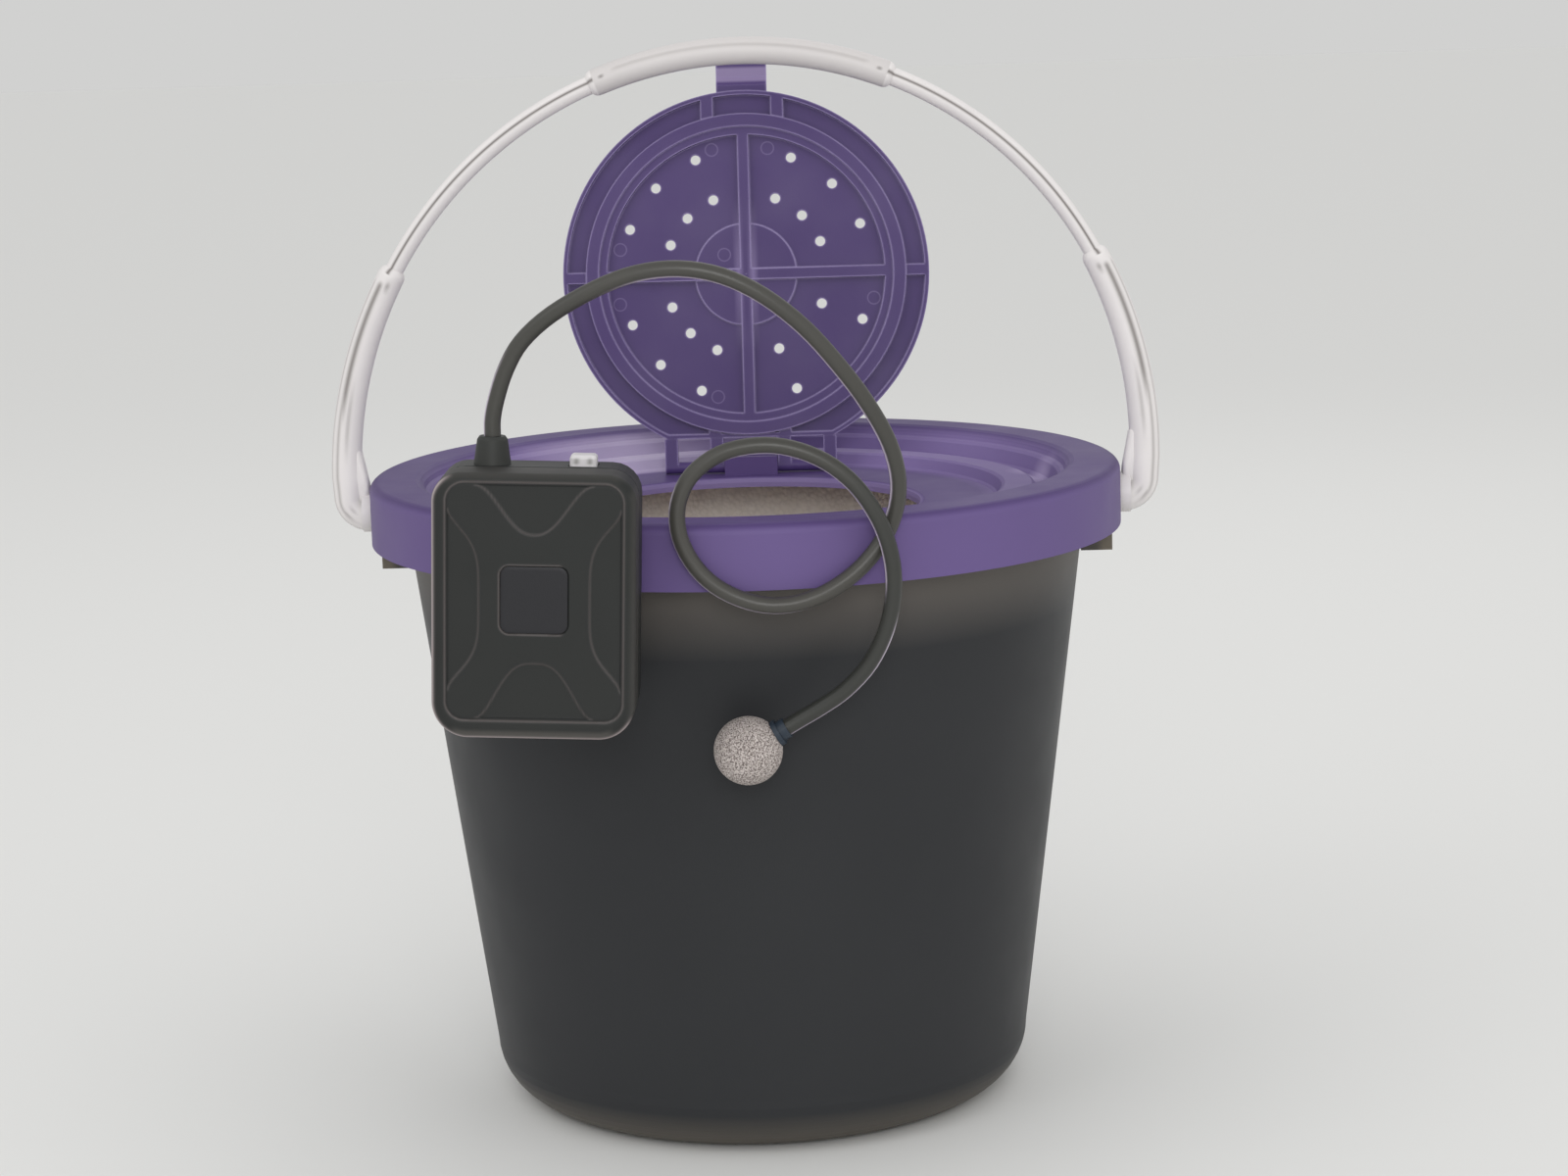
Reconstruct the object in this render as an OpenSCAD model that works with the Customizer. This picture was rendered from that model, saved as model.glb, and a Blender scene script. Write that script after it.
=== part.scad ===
// Aerated bait bucket: a tapered pail with a foam liner, a snap lid with a
// perforated hatch, a moulded bail, and a battery air pump hooked on the rim
// with its hose and air stone. Origin: centre of the pail's base. +Z is up,
// -Y is the front, where the pump hangs. The hatch is drawn standing open.

/* [Pail] */
// Height of the pail from its base to its rim
pail_h = 248.4; // [220:0.1:270]
// Outside radius of the wall where it leaves the base curve
base_r = 107; // [100:0.5:112]
// Outside radius of the wall at the rim
top_r = 135.8; // [132:0.1:138]
// Radius of the curve between base and wall
base_curve = 23.5; // [16:0.5:30]
// Thickness of the moulded wall
wall_t = 2.6; // [2:0.1:3.5]
// How far the rim stands out from the wall
rim_w = 9.2; // [8:0.1:12]
// Height of the rim's outer lip
rim_lip_h = 7; // [4:0.5:10]
// Distance from the rim down to the bail's pivot
pivot_drop = 12; // [11:0.1:16]
// Radius of the bail's pivot bore
pivot_bore_r = 5.6; // [4:0.1:6.5]
// Half width of each pivot ear
ear_half_w = 13; // [11:0.5:18]
// Distance from the pivot down to the foot of an ear
ear_drop = 21; // [14:0.5:26]

/* [Foam liner] */
// Thickness of the foam wall
liner_t = 16; // [10:0.5:20]
// Thickness of the foam floor
liner_floor = 18; // [12:0.5:25]
// Gap between foam and pail, and between foam and lid
liner_gap = 0.4; // [0.2:0.1:1]

/* [Lid] */
// Thickness of the moulded lid
lid_t = 2.4; // [1.8:0.1:3]
// Gap between the lid's skirt and the rim
lid_gap = 0.6; // [0.3:0.1:1]
// Height of the skirt
skirt_h = 24.3; // [21:0.1:28]
// Radius of the skirt's rounded top edge
skirt_edge_r = 3.9; // [3:0.1:6]
// Width of the flat ring on top, with its rounded edge
ring_w = 18; // [16:0.5:19]
// Width of the slope from the ring down to the channel
slope_w = 9; // [8:0.5:11]
// Width of the channel
channel_w = 7; // [6:0.5:9]
// Width of the raised plateau
plateau_w = 15; // [13:0.5:17]
// Width of the sunken panel round the opening
panel_w = 30.2; // [29:0.1:34]
// Depth of the channel below the top
channel_d = 11.8; // [10:0.1:13]
// Depth of the plateau below the top
plateau_d = 8.8; // [7:0.1:9.5]
// Depth of the sunken panel below the top
panel_d = 14; // [13:0.1:14.5]
// How far the opening's neck reaches below the sunken panel
neck_l = 4.8; // [4:0.1:8]

/* [Hatch] */
// How far the hatch disc laps over the edge of the opening
hatch_lap = 7.5; // [6:0.1:8]
// Thickness of the hatch disc
hatch_t = 2; // [1.5:0.1:2.6]
// Distance from the disc's edge to the hinge axis
hinge_gap = 3.7; // [3.2:0.1:5]
// Angle that the hatch has been opened by
hatch_open = 98; // [90:1:100]
// Radius of the hinge rod
rod_r = 2.5; // [2:0.1:2.6]
// Radial clearance of the rod in its clip
rod_play = 0.06; // [0.03:0.01:0.1]
// Half length of the hinge rod
rod_half = 35.8; // [33:0.1:38]
// Half width of the lid's clip post
post_half_w = 11; // [9:0.5:14]
// Depth of the rim wall and ribs under the disc
rib_d = 2.6; // [2:0.1:2.7]
// Depth of the plug ring under the disc
plug_d = 3.6; // [3:0.1:5]
// Gap between the plug ring and the opening
plug_gap = 2.1; // [1.5:0.1:4]
// Radius of each vent hole
vent_r = 2.05; // [1.5:0.05:2.5]
// Width of the latch tab
tab_w = 21; // [16:0.5:26]
// Length of the latch tab beyond the disc
tab_l = 16.5; // [12:0.5:17]

/* [Bail] */
// How far the arch spreads beyond the straight legs
arch_spread = 0.5; // [0:0.1:3]
// How much higher the arch's top is than a true circle's
arch_peak = 4.5; // [0:0.1:8]
// Sideways set that the top of the arch has taken
arch_set = 3.4; // [0:0.1:5]
// Height of the arch's centre above the pivot
arch_rise = 14.6; // [12:0.1:20]
// Gap between the lid and the legs
leg_gap = 3.5; // [3.3:0.1:6]
// Radius of the bar along the thin stretches
bar_r = 3.6; // [3:0.1:5]
// Radius of the bar at the grip
grip_r = 5.4; // [4.5:0.1:5.9]
// Radius of the bar near the pivots
leg_r = 6; // [5:0.1:6]
// Half of the arc that the grip takes up
grip_angle = 20; // [15:0.5:25]
// Angle up each side where the thick legs end
leg_angle = 28; // [20:0.5:35]
// Radius of the round boss at each pivot
boss_r = 8; // [7:0.1:9]
// Radial clearance of the pivot stub in its bore
pivot_play = 0.08; // [0.05:0.01:0.1]

/* [Pump case] */
// Radius of the case's two top corners
corner_top = 10.4; // [9:0.1:12]
// Radius of the case's two bottom corners
corner_bottom = 13; // [11:0.1:14]
// Wall thickness of the case
case_t = 2.2; // [1.8:0.1:2.4]
// Thickness of the case's back wall
back_t = 3.4; // [3:0.1:3.6]
// Rounding of the case's front and back edges
case_edge = 4.4; // [3:0.2:4.6]
// Thickness of the gasket between the two halves
gasket_t = 0.8; // [0.6:0.1:1.2]
// Sideways place of the pump's centre on the rim
pump_x = -68.9; // [-71:0.1:-66]
// How far the pump's centre hangs below the lid's top
pump_drop = 22; // [21:0.1:23]
// Lean of the pump to its right as it hangs
pump_tilt = 2.6; // [0:0.1:3]
// Width of the blank badge
badge_w = 25; // [20:0.5:28]

/* [Rim hook] */
// Thickness of the hook's strip
strap_t = 1.2; // [1:0.1:1.6]
// Half width of the hook's strip
strap_half_w = 9; // [7:0.5:11]
// Reach of the hook over the lid, from the back of the case
hook_reach = 52.5; // [51:0.5:54]
// Depth that the hook's end reaches down
hook_drop = 8; // [6:0.5:9]

/* [Pump insides] */
// Height of the room above the shelf
bay_h = 20.6; // [20.5:0.1:24]
// Radius of a battery
cell_r = 16.3; // [16:0.1:16.4]
// Length of a battery
cell_l = 61; // [60:0.1:61.2]
// Radius of the motor
motor_r = 8; // [7:0.1:8.2]
// Length of the motor
motor_l = 16.5; // [16.5:0.5:23]
// Throw of the eccentric pin
throw = 1.5; // [1:0.1:1.6]
// Radius of the eccentric pin
pin_r = 1.4; // [1.2:0.1:1.6]
// Radius of the diaphragm
diaphragm_r = 5.9; // [5:0.1:5.9]

/* [Hose and stone] */
// Outside diameter of the air hose
hose_d = 6; // [5:0.1:6.4]
// Height of the strain relief on top of the pump
boot_h = 9.8; // [9:0.1:11]
// Radius of the air stone
stone_r = 12.5; // [11:0.1:13]

/* [Hidden] */

eps = 0.01;
round_fn = 96;
small_fn = 48;

rim_r = top_r + rim_w;
pivot_z = pail_h - pivot_drop;

// Radius of the pail's outer wall at height z
slope = (top_r - base_r) / (pail_h - base_curve);
function wall_r(z) = base_r + slope * (z - base_curve);

// Points of an arc from angle a0 to a1
function arc(cx, cy, r, a0, a1, n) =
    [for (i = [0:n]) let (a = a0 + (a1 - a0) * i / n) [cx + r * cos(a), cy + r * sin(a)]];

// ---------------------------------------------------------------- pail
ear_out = rim_r - 0.5;
ear_in = wall_r(pivot_z) - wall_t;
pivot_bore_l = ear_out - wall_r(pivot_z) + 0.6;

module pail_profile() {
    inner_base = base_curve - wall_t;
    outer = concat(
        [[0, 0]],
        arc(base_r - base_curve, base_curve, base_curve, -90, 0, 10),
        [[wall_r(pail_h - rim_lip_h), pail_h - rim_lip_h]],
        [[rim_r - wall_t, pail_h - rim_lip_h]],
        [[rim_r, pail_h - rim_lip_h]],
        arc(rim_r - 1.2, pail_h - 1.2, 1.2, 0, 90, 3)
    );
    inner = concat(
        [[top_r - wall_t, pail_h]],
        arc(base_r - base_curve, base_curve, inner_base, 0, -90, 10),
        [[0, wall_t]]
    );
    polygon(concat(outer, inner));
}

module rim_groove() {
    rotate_extrude($fn = round_fn)
        polygon([
            [wall_r(pail_h - rim_lip_h - 1), pail_h - rim_lip_h - 1],
            [rim_r - wall_t, pail_h - rim_lip_h - 1],
            [rim_r - wall_t, pail_h - wall_t],
            [wall_r(pail_h - wall_t), pail_h - wall_t]
        ]);
}

module pivot_ear(side) {
    foot_z = pivot_z - ear_drop;
    mirror([side < 0 ? 1 : 0, 0, 0])
        intersection() {
            translate([ear_in, -ear_half_w, foot_z])
                cube([ear_out - ear_in, 2 * ear_half_w, pail_h - wall_t - foot_z]);
            cylinder(h = pail_h, r = ear_out, $fn = round_fn);
        }
}

module bucket_shell() {
    color([0.23, 0.235, 0.243])
        difference() {
            union() {
                difference() {
                    rotate_extrude($fn = round_fn) pail_profile();
                    rim_groove();
                }
                difference() {
                    for (side = [-1, 1]) pivot_ear(side);
                    translate([0, 0, wall_t]) inner_room(pail_h, 0);
                }
            }
            for (side = [-1, 1])
                translate([side * ear_out, 0, pivot_z])
                    rotate([0, -side * 90, 0])
                        translate([0, 0, -1])
                            cylinder(h = pivot_bore_l + 1, r = pivot_bore_r, $fn = small_fn);
        }
}

// The straight-sided space inside the pail, narrower by a gap all round
module inner_room(top, gap) {
    translate([0, 0, -wall_t])
        rotate_extrude($fn = round_fn)
            polygon([
                [0, wall_t],
                [wall_r(base_curve) - wall_t - gap, wall_t],
                [wall_r(base_curve) - wall_t - gap, base_curve],
                [wall_r(top) - wall_t - gap, top],
                [0, top]
            ]);
}

// ---------------------------------------------------------------- foam liner
lid_top = pail_h + lid_t;
liner_top = lid_top - channel_d - lid_t - liner_gap;

module foam_liner() {
    foot_r = base_r - base_curve;
    outer_curve = base_curve - wall_t - liner_gap;
    floor_z = wall_t + liner_floor;
    bowl_r = base_curve - wall_t;
    bowl_c = base_r - wall_t - liner_gap - liner_t - bowl_r;
    color([0.46, 0.42, 0.39])
        rotate_extrude($fn = round_fn)
            polygon(concat(
                [[0, wall_t]],
                [[foot_r, wall_t]],
                arc(foot_r, base_curve, outer_curve, -80, 0, 7),
                [[wall_r(liner_top) - wall_t - liner_gap, liner_top]],
                [[wall_r(liner_top) - wall_t - liner_gap - liner_t, liner_top]],
                arc(bowl_c, floor_z + bowl_r, bowl_r, 0, -90, 8),
                [[0, floor_z]]
            ));
}

// ---------------------------------------------------------------- lid
lid_r = rim_r + lid_gap + lid_t;
ring_in_r = lid_r - ring_w;
channel_r = ring_in_r - slope_w;
plateau_r = channel_r - channel_w;
panel_r = plateau_r - plateau_w;
opening_r = panel_r - panel_w;
neck_d = panel_d + neck_l;
hinge_z = lid_top - panel_d + 2.4;
hinge_y = opening_r + hatch_lap + hinge_gap;
notch_r = boss_r + 1;
panel_slope_d = 0.8;

function lid_top_points() = concat(
    [[lid_r, skirt_h]],
    [for (q = arc(lid_r - skirt_edge_r, -skirt_edge_r, skirt_edge_r, 0, 90, 6)) [q[0], -q[1]]],
    [
        [ring_in_r, 0],
        [ring_in_r - 1.8, 0.7],
        [ring_in_r - 3.3, 2.2],
        [ring_in_r - 4, 4],
        [ring_in_r - 5.4, 4.5],
        [ring_in_r - 6.6, 5.6],
        [channel_r + 0.6, channel_d - 1.2],
        [channel_r - 0.8, channel_d],
        [plateau_r + 2.2, channel_d],
        [plateau_r + 1, channel_d - 1],
        [plateau_r + 0.4, plateau_d + 0.8],
        [plateau_r - 0.8, plateau_d],
        [panel_r + 3.8, plateau_d],
        [panel_r + 2.4, plateau_d + 0.8],
        [panel_r + 0.6, panel_d - 0.8],
        [panel_r - 0.8, panel_d],
        [opening_r + 2, panel_d + panel_slope_d],
        [opening_r + 0.5, panel_d + panel_slope_d + 0.6],
        [opening_r, panel_d + panel_slope_d + 2]
    ]
);

function lid_under_points() = concat(
    [
        [opening_r, neck_d],
        [opening_r + lid_t, neck_d],
        [opening_r + lid_t, panel_d + panel_slope_d + lid_t],
        [panel_r + lid_t, panel_d + lid_t],
        [panel_r + 2 * lid_t, plateau_d + lid_t],
        [plateau_r - lid_t, plateau_d + lid_t],
        [plateau_r - lid_t + 1, channel_d + lid_t],
        [channel_r + lid_t - 1, channel_d + lid_t],
        [ring_in_r - 2, lid_t + 3],
        [ring_in_r + 0.5, lid_t]
    ],
    [for (q = arc(lid_r - skirt_edge_r, -skirt_edge_r, skirt_edge_r - lid_t, 90, 0, 4)) [q[0], -q[1]]],
    [[lid_r - lid_t, skirt_h]]
);

module lid() {
    color([0.42, 0.36, 0.54])
        difference() {
            union() {
                translate([0, 0, lid_top])
                    mirror([0, 0, 1])
                        rotate_extrude($fn = round_fn)
                            polygon(concat(lid_top_points(), lid_under_points()));
                clip_post();
            }
            for (side = [-1, 1]) bail_notch(side);
        }
}

// Slot, open at the bottom, through which a bail boss passes the skirt
module bail_notch(side) {
    mid = side * (lid_r - lid_t / 2);
    translate([mid, 0, pivot_z])
        rotate([0, 90, 0])
            translate([0, 0, -lid_t * 2])
                cylinder(h = lid_t * 4, r = notch_r, $fn = small_fn);
    translate([mid - lid_t * 2, -notch_r, lid_top - skirt_h - 1])
        cube([lid_t * 4, 2 * notch_r, pivot_z - (lid_top - skirt_h) + 1]);
}

// Snap clip that grips the middle of the hatch's rod
module clip_post() {
    depth = 2 * (rod_r + 2);
    foot_z = lid_top - panel_d - panel_slope_d - lid_t / 2;
    top_z = hinge_z + rod_r + 2;
    difference() {
        translate([-post_half_w, hinge_y - depth / 2, foot_z])
            cube([2 * post_half_w, depth, top_z - foot_z]);
        translate([-post_half_w - 1, hinge_y, hinge_z])
            rotate([0, 90, 0])
                cylinder(h = 2 * post_half_w + 2, r = rod_r + rod_play, $fn = small_fn);
        translate([-post_half_w - 1, hinge_y - rod_r * 0.7, hinge_z + rod_r * 0.7])
            cube([2 * post_half_w + 2, rod_r * 1.4, 2 * rod_r]);
    }
}

// ---------------------------------------------------------------- hatch
hatch_r = opening_r + hatch_lap;
plug_r = opening_r - plug_gap;
rim_wall_t = 1.8;
chord_d = 12;
land_in_r = plug_r - 5.3;
inner_ring_r = plug_r - 8.8;
pad_r = 21.2;
arm_w = 5.4;
arm_h = 4;
cross_w = 4.6;
bridge_x = [14.6, 5.2];
vent_rings = [pad_r + 12.6, inner_ring_r - 5.9];

// Ring between two radii, from height z0 to z1
module ring(r_out, r_in, z0, z1) {
    translate([0, 0, z0])
        difference() {
            cylinder(h = z1 - z0, r = r_out, $fn = round_fn);
            translate([0, 0, -1]) cylinder(h = z1 - z0 + 2, r = r_in, $fn = round_fn);
        }
}

// Closed hatch, hinge rod on the X axis, disc towards -Y, top side up
module closed_hatch() {
    difference() {
        union() {
            intersection() {
                translate([0, -hinge_y, 0]) hatch_disc();
                translate([-hatch_r, -hinge_y - hatch_r - 1, -10])
                    cube([2 * hatch_r, hinge_y + hatch_r + 1 - chord_d, 20]);
            }
            chord_rib();
            latch_tab();
        }
        for (quarter = [0:3]) {
            for (a = [22.5, 45, 67.5]) {
                for (r = vent_rings) {
                    translate([0, -hinge_y, 0])
                        rotate([0, 0, quarter * 90 + a])
                            translate([r, 0, -10])
                                cylinder(h = 20, r = vent_r, $fn = 24);
                }
            }
        }
    }
    hinge_arms();
    rotate([0, 90, 0])
        translate([0, 0, -rod_half])
            cylinder(h = 2 * rod_half, r = rod_r, $fn = small_fn);
}

module hatch_disc() {
    cylinder(h = hatch_t, r = hatch_r, $fn = round_fn);
    ring(hatch_r, hatch_r - rim_wall_t, -rib_d, eps);
    ring(plug_r, land_in_r, -plug_d, eps);
    ring(land_in_r + eps, inner_ring_r, -rib_d, eps);
    translate([0, 0, -1.2]) cylinder(h = 1.2 + eps, r = pad_r, $fn = round_fn);
    intersection() {
        ring(hatch_r, 0.1, -rib_d, eps);
        union() {
            translate([-cross_w / 2, -land_in_r, -rib_d]) cube([cross_w, 2 * land_in_r, rib_d]);
            translate([-hatch_r, -cross_w / 2, -rib_d]) cube([2 * hatch_r, cross_w, rib_d]);
            for (side = [-1, 1]) {
                translate([side * bridge_x[0] - bridge_x[1] / 2, plug_r - 4, -rib_d])
                    cube([bridge_x[1], hatch_r - plug_r + 4, rib_d]);
                translate([side * bridge_x[0] - bridge_x[1] / 2, -hatch_r, -rib_d])
                    cube([bridge_x[1], hatch_r - plug_r + 4, rib_d]);
            }
        }
    }
}

module chord_rib() {
    half = sqrt(hatch_r * hatch_r - pow(hinge_y - chord_d, 2));
    translate([-half, -chord_d - rim_wall_t, -rib_d])
        cube([2 * half, rim_wall_t, rib_d + hatch_t]);
}

module hinge_arms() {
    for (x = [post_half_w + 0.4, rod_half - arm_w]) {
        for (side = [0, 1]) {
            mirror([side, 0, 0])
                translate([x, -chord_d - eps, -rod_r])
                    cube([arm_w, chord_d + eps, arm_h]);
        }
    }
}

// Finger tab: a flat tongue, a raised step and a raised lip
module latch_tab() {
    y0 = -hinge_y - hatch_r;
    step = 2.2;
    rotate([90, 0, 90])
        translate([0, 0, -tab_w / 2])
            linear_extrude(tab_w)
                polygon([
                    [y0 + 4, 0],
                    [y0 + 4, hatch_t],
                    [y0 - 3, hatch_t],
                    [y0 - 6.5, hatch_t + step],
                    [y0 - tab_l, hatch_t + step],
                    [y0 - tab_l, step],
                    [y0 - 6, step],
                    [y0 - 2.5, 0]
                ]);
}

module hatch_door() {
    color([0.34, 0.28, 0.46])
        translate([0, hinge_y, hinge_z])
            rotate([-hatch_open, 0, 0])
                closed_hatch();
}

// ---------------------------------------------------------------- swept forms
function unit(v) = v / norm(v);
function backwards(list) = [for (i = [len(list) - 1:-1:0]) list[i]];

// Ring of points square to direction t round the point c
function ring_points(c, t, up, r, sides) =
    let (n = unit(cross(up, t)), b = cross(t, n))
    [for (j = [0:sides - 1]) c + r * (cos(360 * j / sides) * n + sin(360 * j / sides) * b)];

// Closed solid through rings of equally many points, with flat ends
module skin(rings) {
    sides = len(rings[0]);
    last = len(rings) - 1;
    quads = [
        for (i = [0:last - 1])
            for (j = [0:sides - 1])
                let (a = i * sides + j, b = i * sides + (j + 1) % sides)
                each [[a, a + sides, b], [b, a + sides, b + sides]]
    ];
    ends = [
        [for (j = [0:sides - 1]) j],
        [for (j = [0:sides - 1]) last * sides + sides - 1 - j]
    ];
    polyhedron(points = [for (ring = rings) each ring], faces = concat(quads, ends));
}

// Round bar along a path; radii holds one radius for each point
module sweep(path, radii, sides, up) {
    last = len(path) - 1;
    skin([
        for (i = [0:last])
            let (t = unit(path[min(i + 1, last)] - path[max(i - 1, 0)]))
            ring_points(path[i], t, up, radii[i], sides)
    ]);
}

module tube(path, r, sides, up) {
    sweep(path, [for (p = path) r], sides, up);
}

// ---------------------------------------------------------------- bail
arch_z = pivot_z + arch_rise;
leg_x = lid_r + leg_gap + leg_r;
arch_r = leg_x + arch_spread;
stub_r = pivot_bore_r - pivot_play;
stub_in = ear_out - pivot_bore_l + 0.4;
bend_r = 8;
bend_z = pivot_z + bend_r - 1.6;
boss_in = ear_out + 0.8;
boss_end = boss_in + 6.7;
step_angle = 1.2;
leg_taper = 0.6;

// Radius of the bar at angle a above the horizontal
function bar_radius(a) =
    a <= leg_angle ? leg_r - leg_taper * a / leg_angle :
    a >= 90 - grip_angle ? grip_r : bar_r;

// Middle of the bar at angle a above the horizontal, on the +X or -X side
function arch_point(a, side) =
    let (r = arch_r + arch_peak * pow(sin(a), 2))
    [side * r * cos(a) + arch_set * sin(a), 0, arch_z + r * sin(a)];

function bend_point(a, side) =
    [side * (leg_x - bend_r + bend_r * cos(a)), 0, bend_z + bend_r * sin(a)];

arch_angles = concat(
    [0, 0.25 * leg_angle, 0.5 * leg_angle, 0.75 * leg_angle, leg_angle, leg_angle + step_angle],
    [for (a = [leg_angle + 7:6:84 - grip_angle]) a],
    [90 - grip_angle - step_angle, 90 - grip_angle],
    [for (k = [1:3]) 90 - grip_angle + grip_angle * k / 4]
);
bend_angles = [-90, -72, -54, -36, -18];
side_radii = concat([for (a = bend_angles) leg_r], [for (a = arch_angles) bar_radius(a)]);

function side_path(side) = concat(
    [for (a = bend_angles) bend_point(a, side)],
    [for (a = arch_angles) arch_point(a, side)]
);

module bail_bar() {
    path = concat(side_path(1), [arch_point(90, 1)], backwards(side_path(-1)));
    radii = concat(side_radii, [grip_r], backwards(side_radii));
    sweep(path, radii, 16, [0, 1, 0]);
}

module bail_end() {
    translate([boss_in, 0, pivot_z])
        rotate([0, 90, 0])
            cylinder(h = boss_end - boss_in, r = boss_r, $fn = small_fn);
    translate([stub_in, 0, pivot_z])
        rotate([0, 90, 0])
            cylinder(h = boss_in + 2 - stub_in, r = stub_r, $fn = small_fn);
    gusset();
}

// Web between the boss and the inner side of the leg
module gusset() {
    t = 8;
    inner = lid_r + 0.9;
    rotate([90, 0, 0])
        translate([0, 0, -t / 2])
            linear_extrude(t)
                polygon([
                    [inner, pivot_z + 3.6],
                    [inner, pivot_z + 9.6],
                    [leg_x - leg_r + 0.5, arch_z + 11],
                    [leg_x - 1, arch_z + 11],
                    [leg_x - 1, pivot_z + 3.6]
                ]);
}

module bail_handle() {
    color([0.85, 0.83, 0.83]) {
        bail_bar();
        for (side = [0, 1])
            mirror([side, 0, 0])
                bail_end();
    }
}

// ---------------------------------------------------------------- pump frame
strip_t = 0.5;
spring_h = 4.9;
cell_gap = 0.2;
cell_side_gap = 0.8;
shelf_t = 1.7;
front_t = case_t + 0.2;
motor_to_drive = 7;
drive_to_back = 9.6;
room_h = bay_h + shelf_t + cell_l + spring_h + 2 * strip_t + 0.4;
case_w = 2 * (2 * cell_r + cell_gap + cell_side_gap + case_t);
case_h = room_h + 2 * case_t;
case_d = front_t + 0.6 + motor_l + motor_to_drive + drive_to_back + back_t;
pump_z = lid_top - pump_drop;
strap_gap = 0.3;
strap_z = lid_top + strap_gap - pump_z + strap_half_w * sin(pump_tilt);
pump_in_x = pump_x + case_w / 2 + 1.2;
pump_back = -sqrt(lid_r * lid_r - pump_in_x * pump_in_x) - 0.4;
pump_y = pump_back - case_d / 2;
front_y = -case_d / 2;
back_y = case_d / 2;
room_front = front_y + front_t;
room_back = back_y - back_t;
drive_y = room_back - drive_to_back;
split_y = drive_y - 8;
back_half_y = split_y + gasket_t;
room_half_w = case_w / 2 - case_t;
room_half_h = case_h / 2 - case_t;

// Puts a piece drawn in the pump's own frame where the pump hangs
module on_pump() {
    translate([pump_x, pump_y, pump_z])
        rotate([0, pump_tilt, 0])
            children();
}

// Outline of the case, seen from the front, narrower by g all round
function case_points(g) =
    let (w = case_w / 2 - g, h = case_h / 2 - g, t = corner_top - g, b = corner_bottom - g)
    concat(
        arc(w - t, h - t, t, 0, 90, 6),
        arc(t - w, h - t, t, 90, 180, 6),
        arc(b - w, b - h, b, 180, 270, 6),
        arc(w - b, b - h, b, 270, 360, 6)
    );

// Slab with the case's outline between depths y0 and y1
module slab(y0, y1, g) {
    translate([0, y1, 0])
        rotate([90, 0, 0])
            linear_extrude(y1 - y0)
                polygon(case_points(g));
}

// Outline of the case at depth y
function case_ring(y, g) = [for (q = case_points(g)) [q[0], y, q[1]]];

// Solid half of the case from its rounded edge at y_edge to y_flat
module rounded_half(y_edge, y_flat) {
    toward = sign(y_flat - y_edge);
    steps = [0, 22.5, 45, 67.5, 90];
    rings = concat(
        [for (a = steps) case_ring(y_edge + toward * case_edge * (1 - cos(a)), case_edge * (1 - sin(a)))],
        [case_ring(y_flat, 0)]
    );
    skin(toward < 0 ? rings : backwards(rings));
}

screw_spots = [
    [case_w / 2 - 7.2, case_h / 2 - 7.2],
    [7.2 - case_w / 2, case_h / 2 - 7.2],
    [case_w / 2 - 9, 4.4 - case_h / 2],
    [9 - case_w / 2, 4.4 - case_h / 2]
];
screw_r = 1.1;
screw_head_r = 2;
boss_out = [2.6, 2.6, 2.1, 2.1];

// Round bar along Y between two depths, at a spot seen from the front
module y_bar(spot, r, y0, y1, fn = 32) {
    translate([spot[0], y1, spot[1]])
        rotate([90, 0, 0])
            cylinder(h = y1 - y0, r = r, $fn = fn);
}

// ---------------------------------------------------------------- front case
panel_half = [case_w / 2 - 4.4, case_h / 2 - 5.6];
panel_x = 0.4;
panel_z = 1;
panel_corner = 7;
groove_w = 0.9;
groove_d = 0.6;
relief_d = 0.7;
badge_z = 1.8;
badge_corner = 3.4;
badge_d = 0.7;
foot_x = case_w / 2 - 16;

function round_rect(hw, hh, r, n) = concat(
    arc(hw - r, hh - r, r, 0, 90, n),
    arc(r - hw, hh - r, r, 90, 180, n),
    arc(r - hw, r - hh, r, 180, 270, n),
    arc(hw - r, r - hh, r, 270, 360, n)
);

// Scallop of half width w and height h above y = 0, the fuller the higher p
module scallop(w, h, p) {
    polygon(concat(
        [[-w, -0.01]],
        [for (i = [0:14]) let (s = -1 + i / 7) [w * s, h * (0.5 + 0.5 * cos(180 * pow(abs(s), p)))]],
        [[w, -0.01]]
    ));
}

// Half width and height of the scallops at the ends and at the sides
end_scallop = [panel_half[0] - 10.7, (panel_half[1] - badge_w / 2) * 0.61];
side_scallop = [panel_half[1] - 9, (panel_half[0] - badge_w / 2) * 0.57];
side_scallop_z = 2.6;

module relief_scallops() {
    edge = 1.2;
    translate([0, panel_z + panel_half[1] - edge])
        mirror([0, 1])
            scallop(end_scallop[0], end_scallop[1], 1.05);
    translate([0, panel_z - panel_half[1] + edge])
        scallop(end_scallop[0], end_scallop[1], 1.35);
    for (side = [0, 1])
        mirror([side, 0])
            translate([-panel_half[0] + edge, side_scallop_z])
                rotate(-90)
                    scallop(side_scallop[0], side_scallop[1], 2.3);
}

module front_face_cuts() {
    translate([0, front_y + groove_d, 0])
        rotate([90, 0, 0])
            linear_extrude(groove_d + 1)
                translate([panel_x, panel_z])
                    difference() {
                        polygon(round_rect(panel_half[0], panel_half[1], panel_corner, 6));
                        polygon(round_rect(panel_half[0] - groove_w, panel_half[1] - groove_w,
                            panel_corner - groove_w, 6));
                    }
    translate([0, front_y + relief_d, 0])
        rotate([90, 0, 0])
            linear_extrude(relief_d + 1)
                translate([panel_x, 0]) relief_scallops();
    translate([0, front_y + badge_d, 0])
        rotate([90, 0, 0])
            linear_extrude(badge_d + 1)
                translate([panel_x, badge_z])
                    polygon(round_rect(badge_w / 2, badge_w / 2, badge_corner, 5));
}

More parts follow.
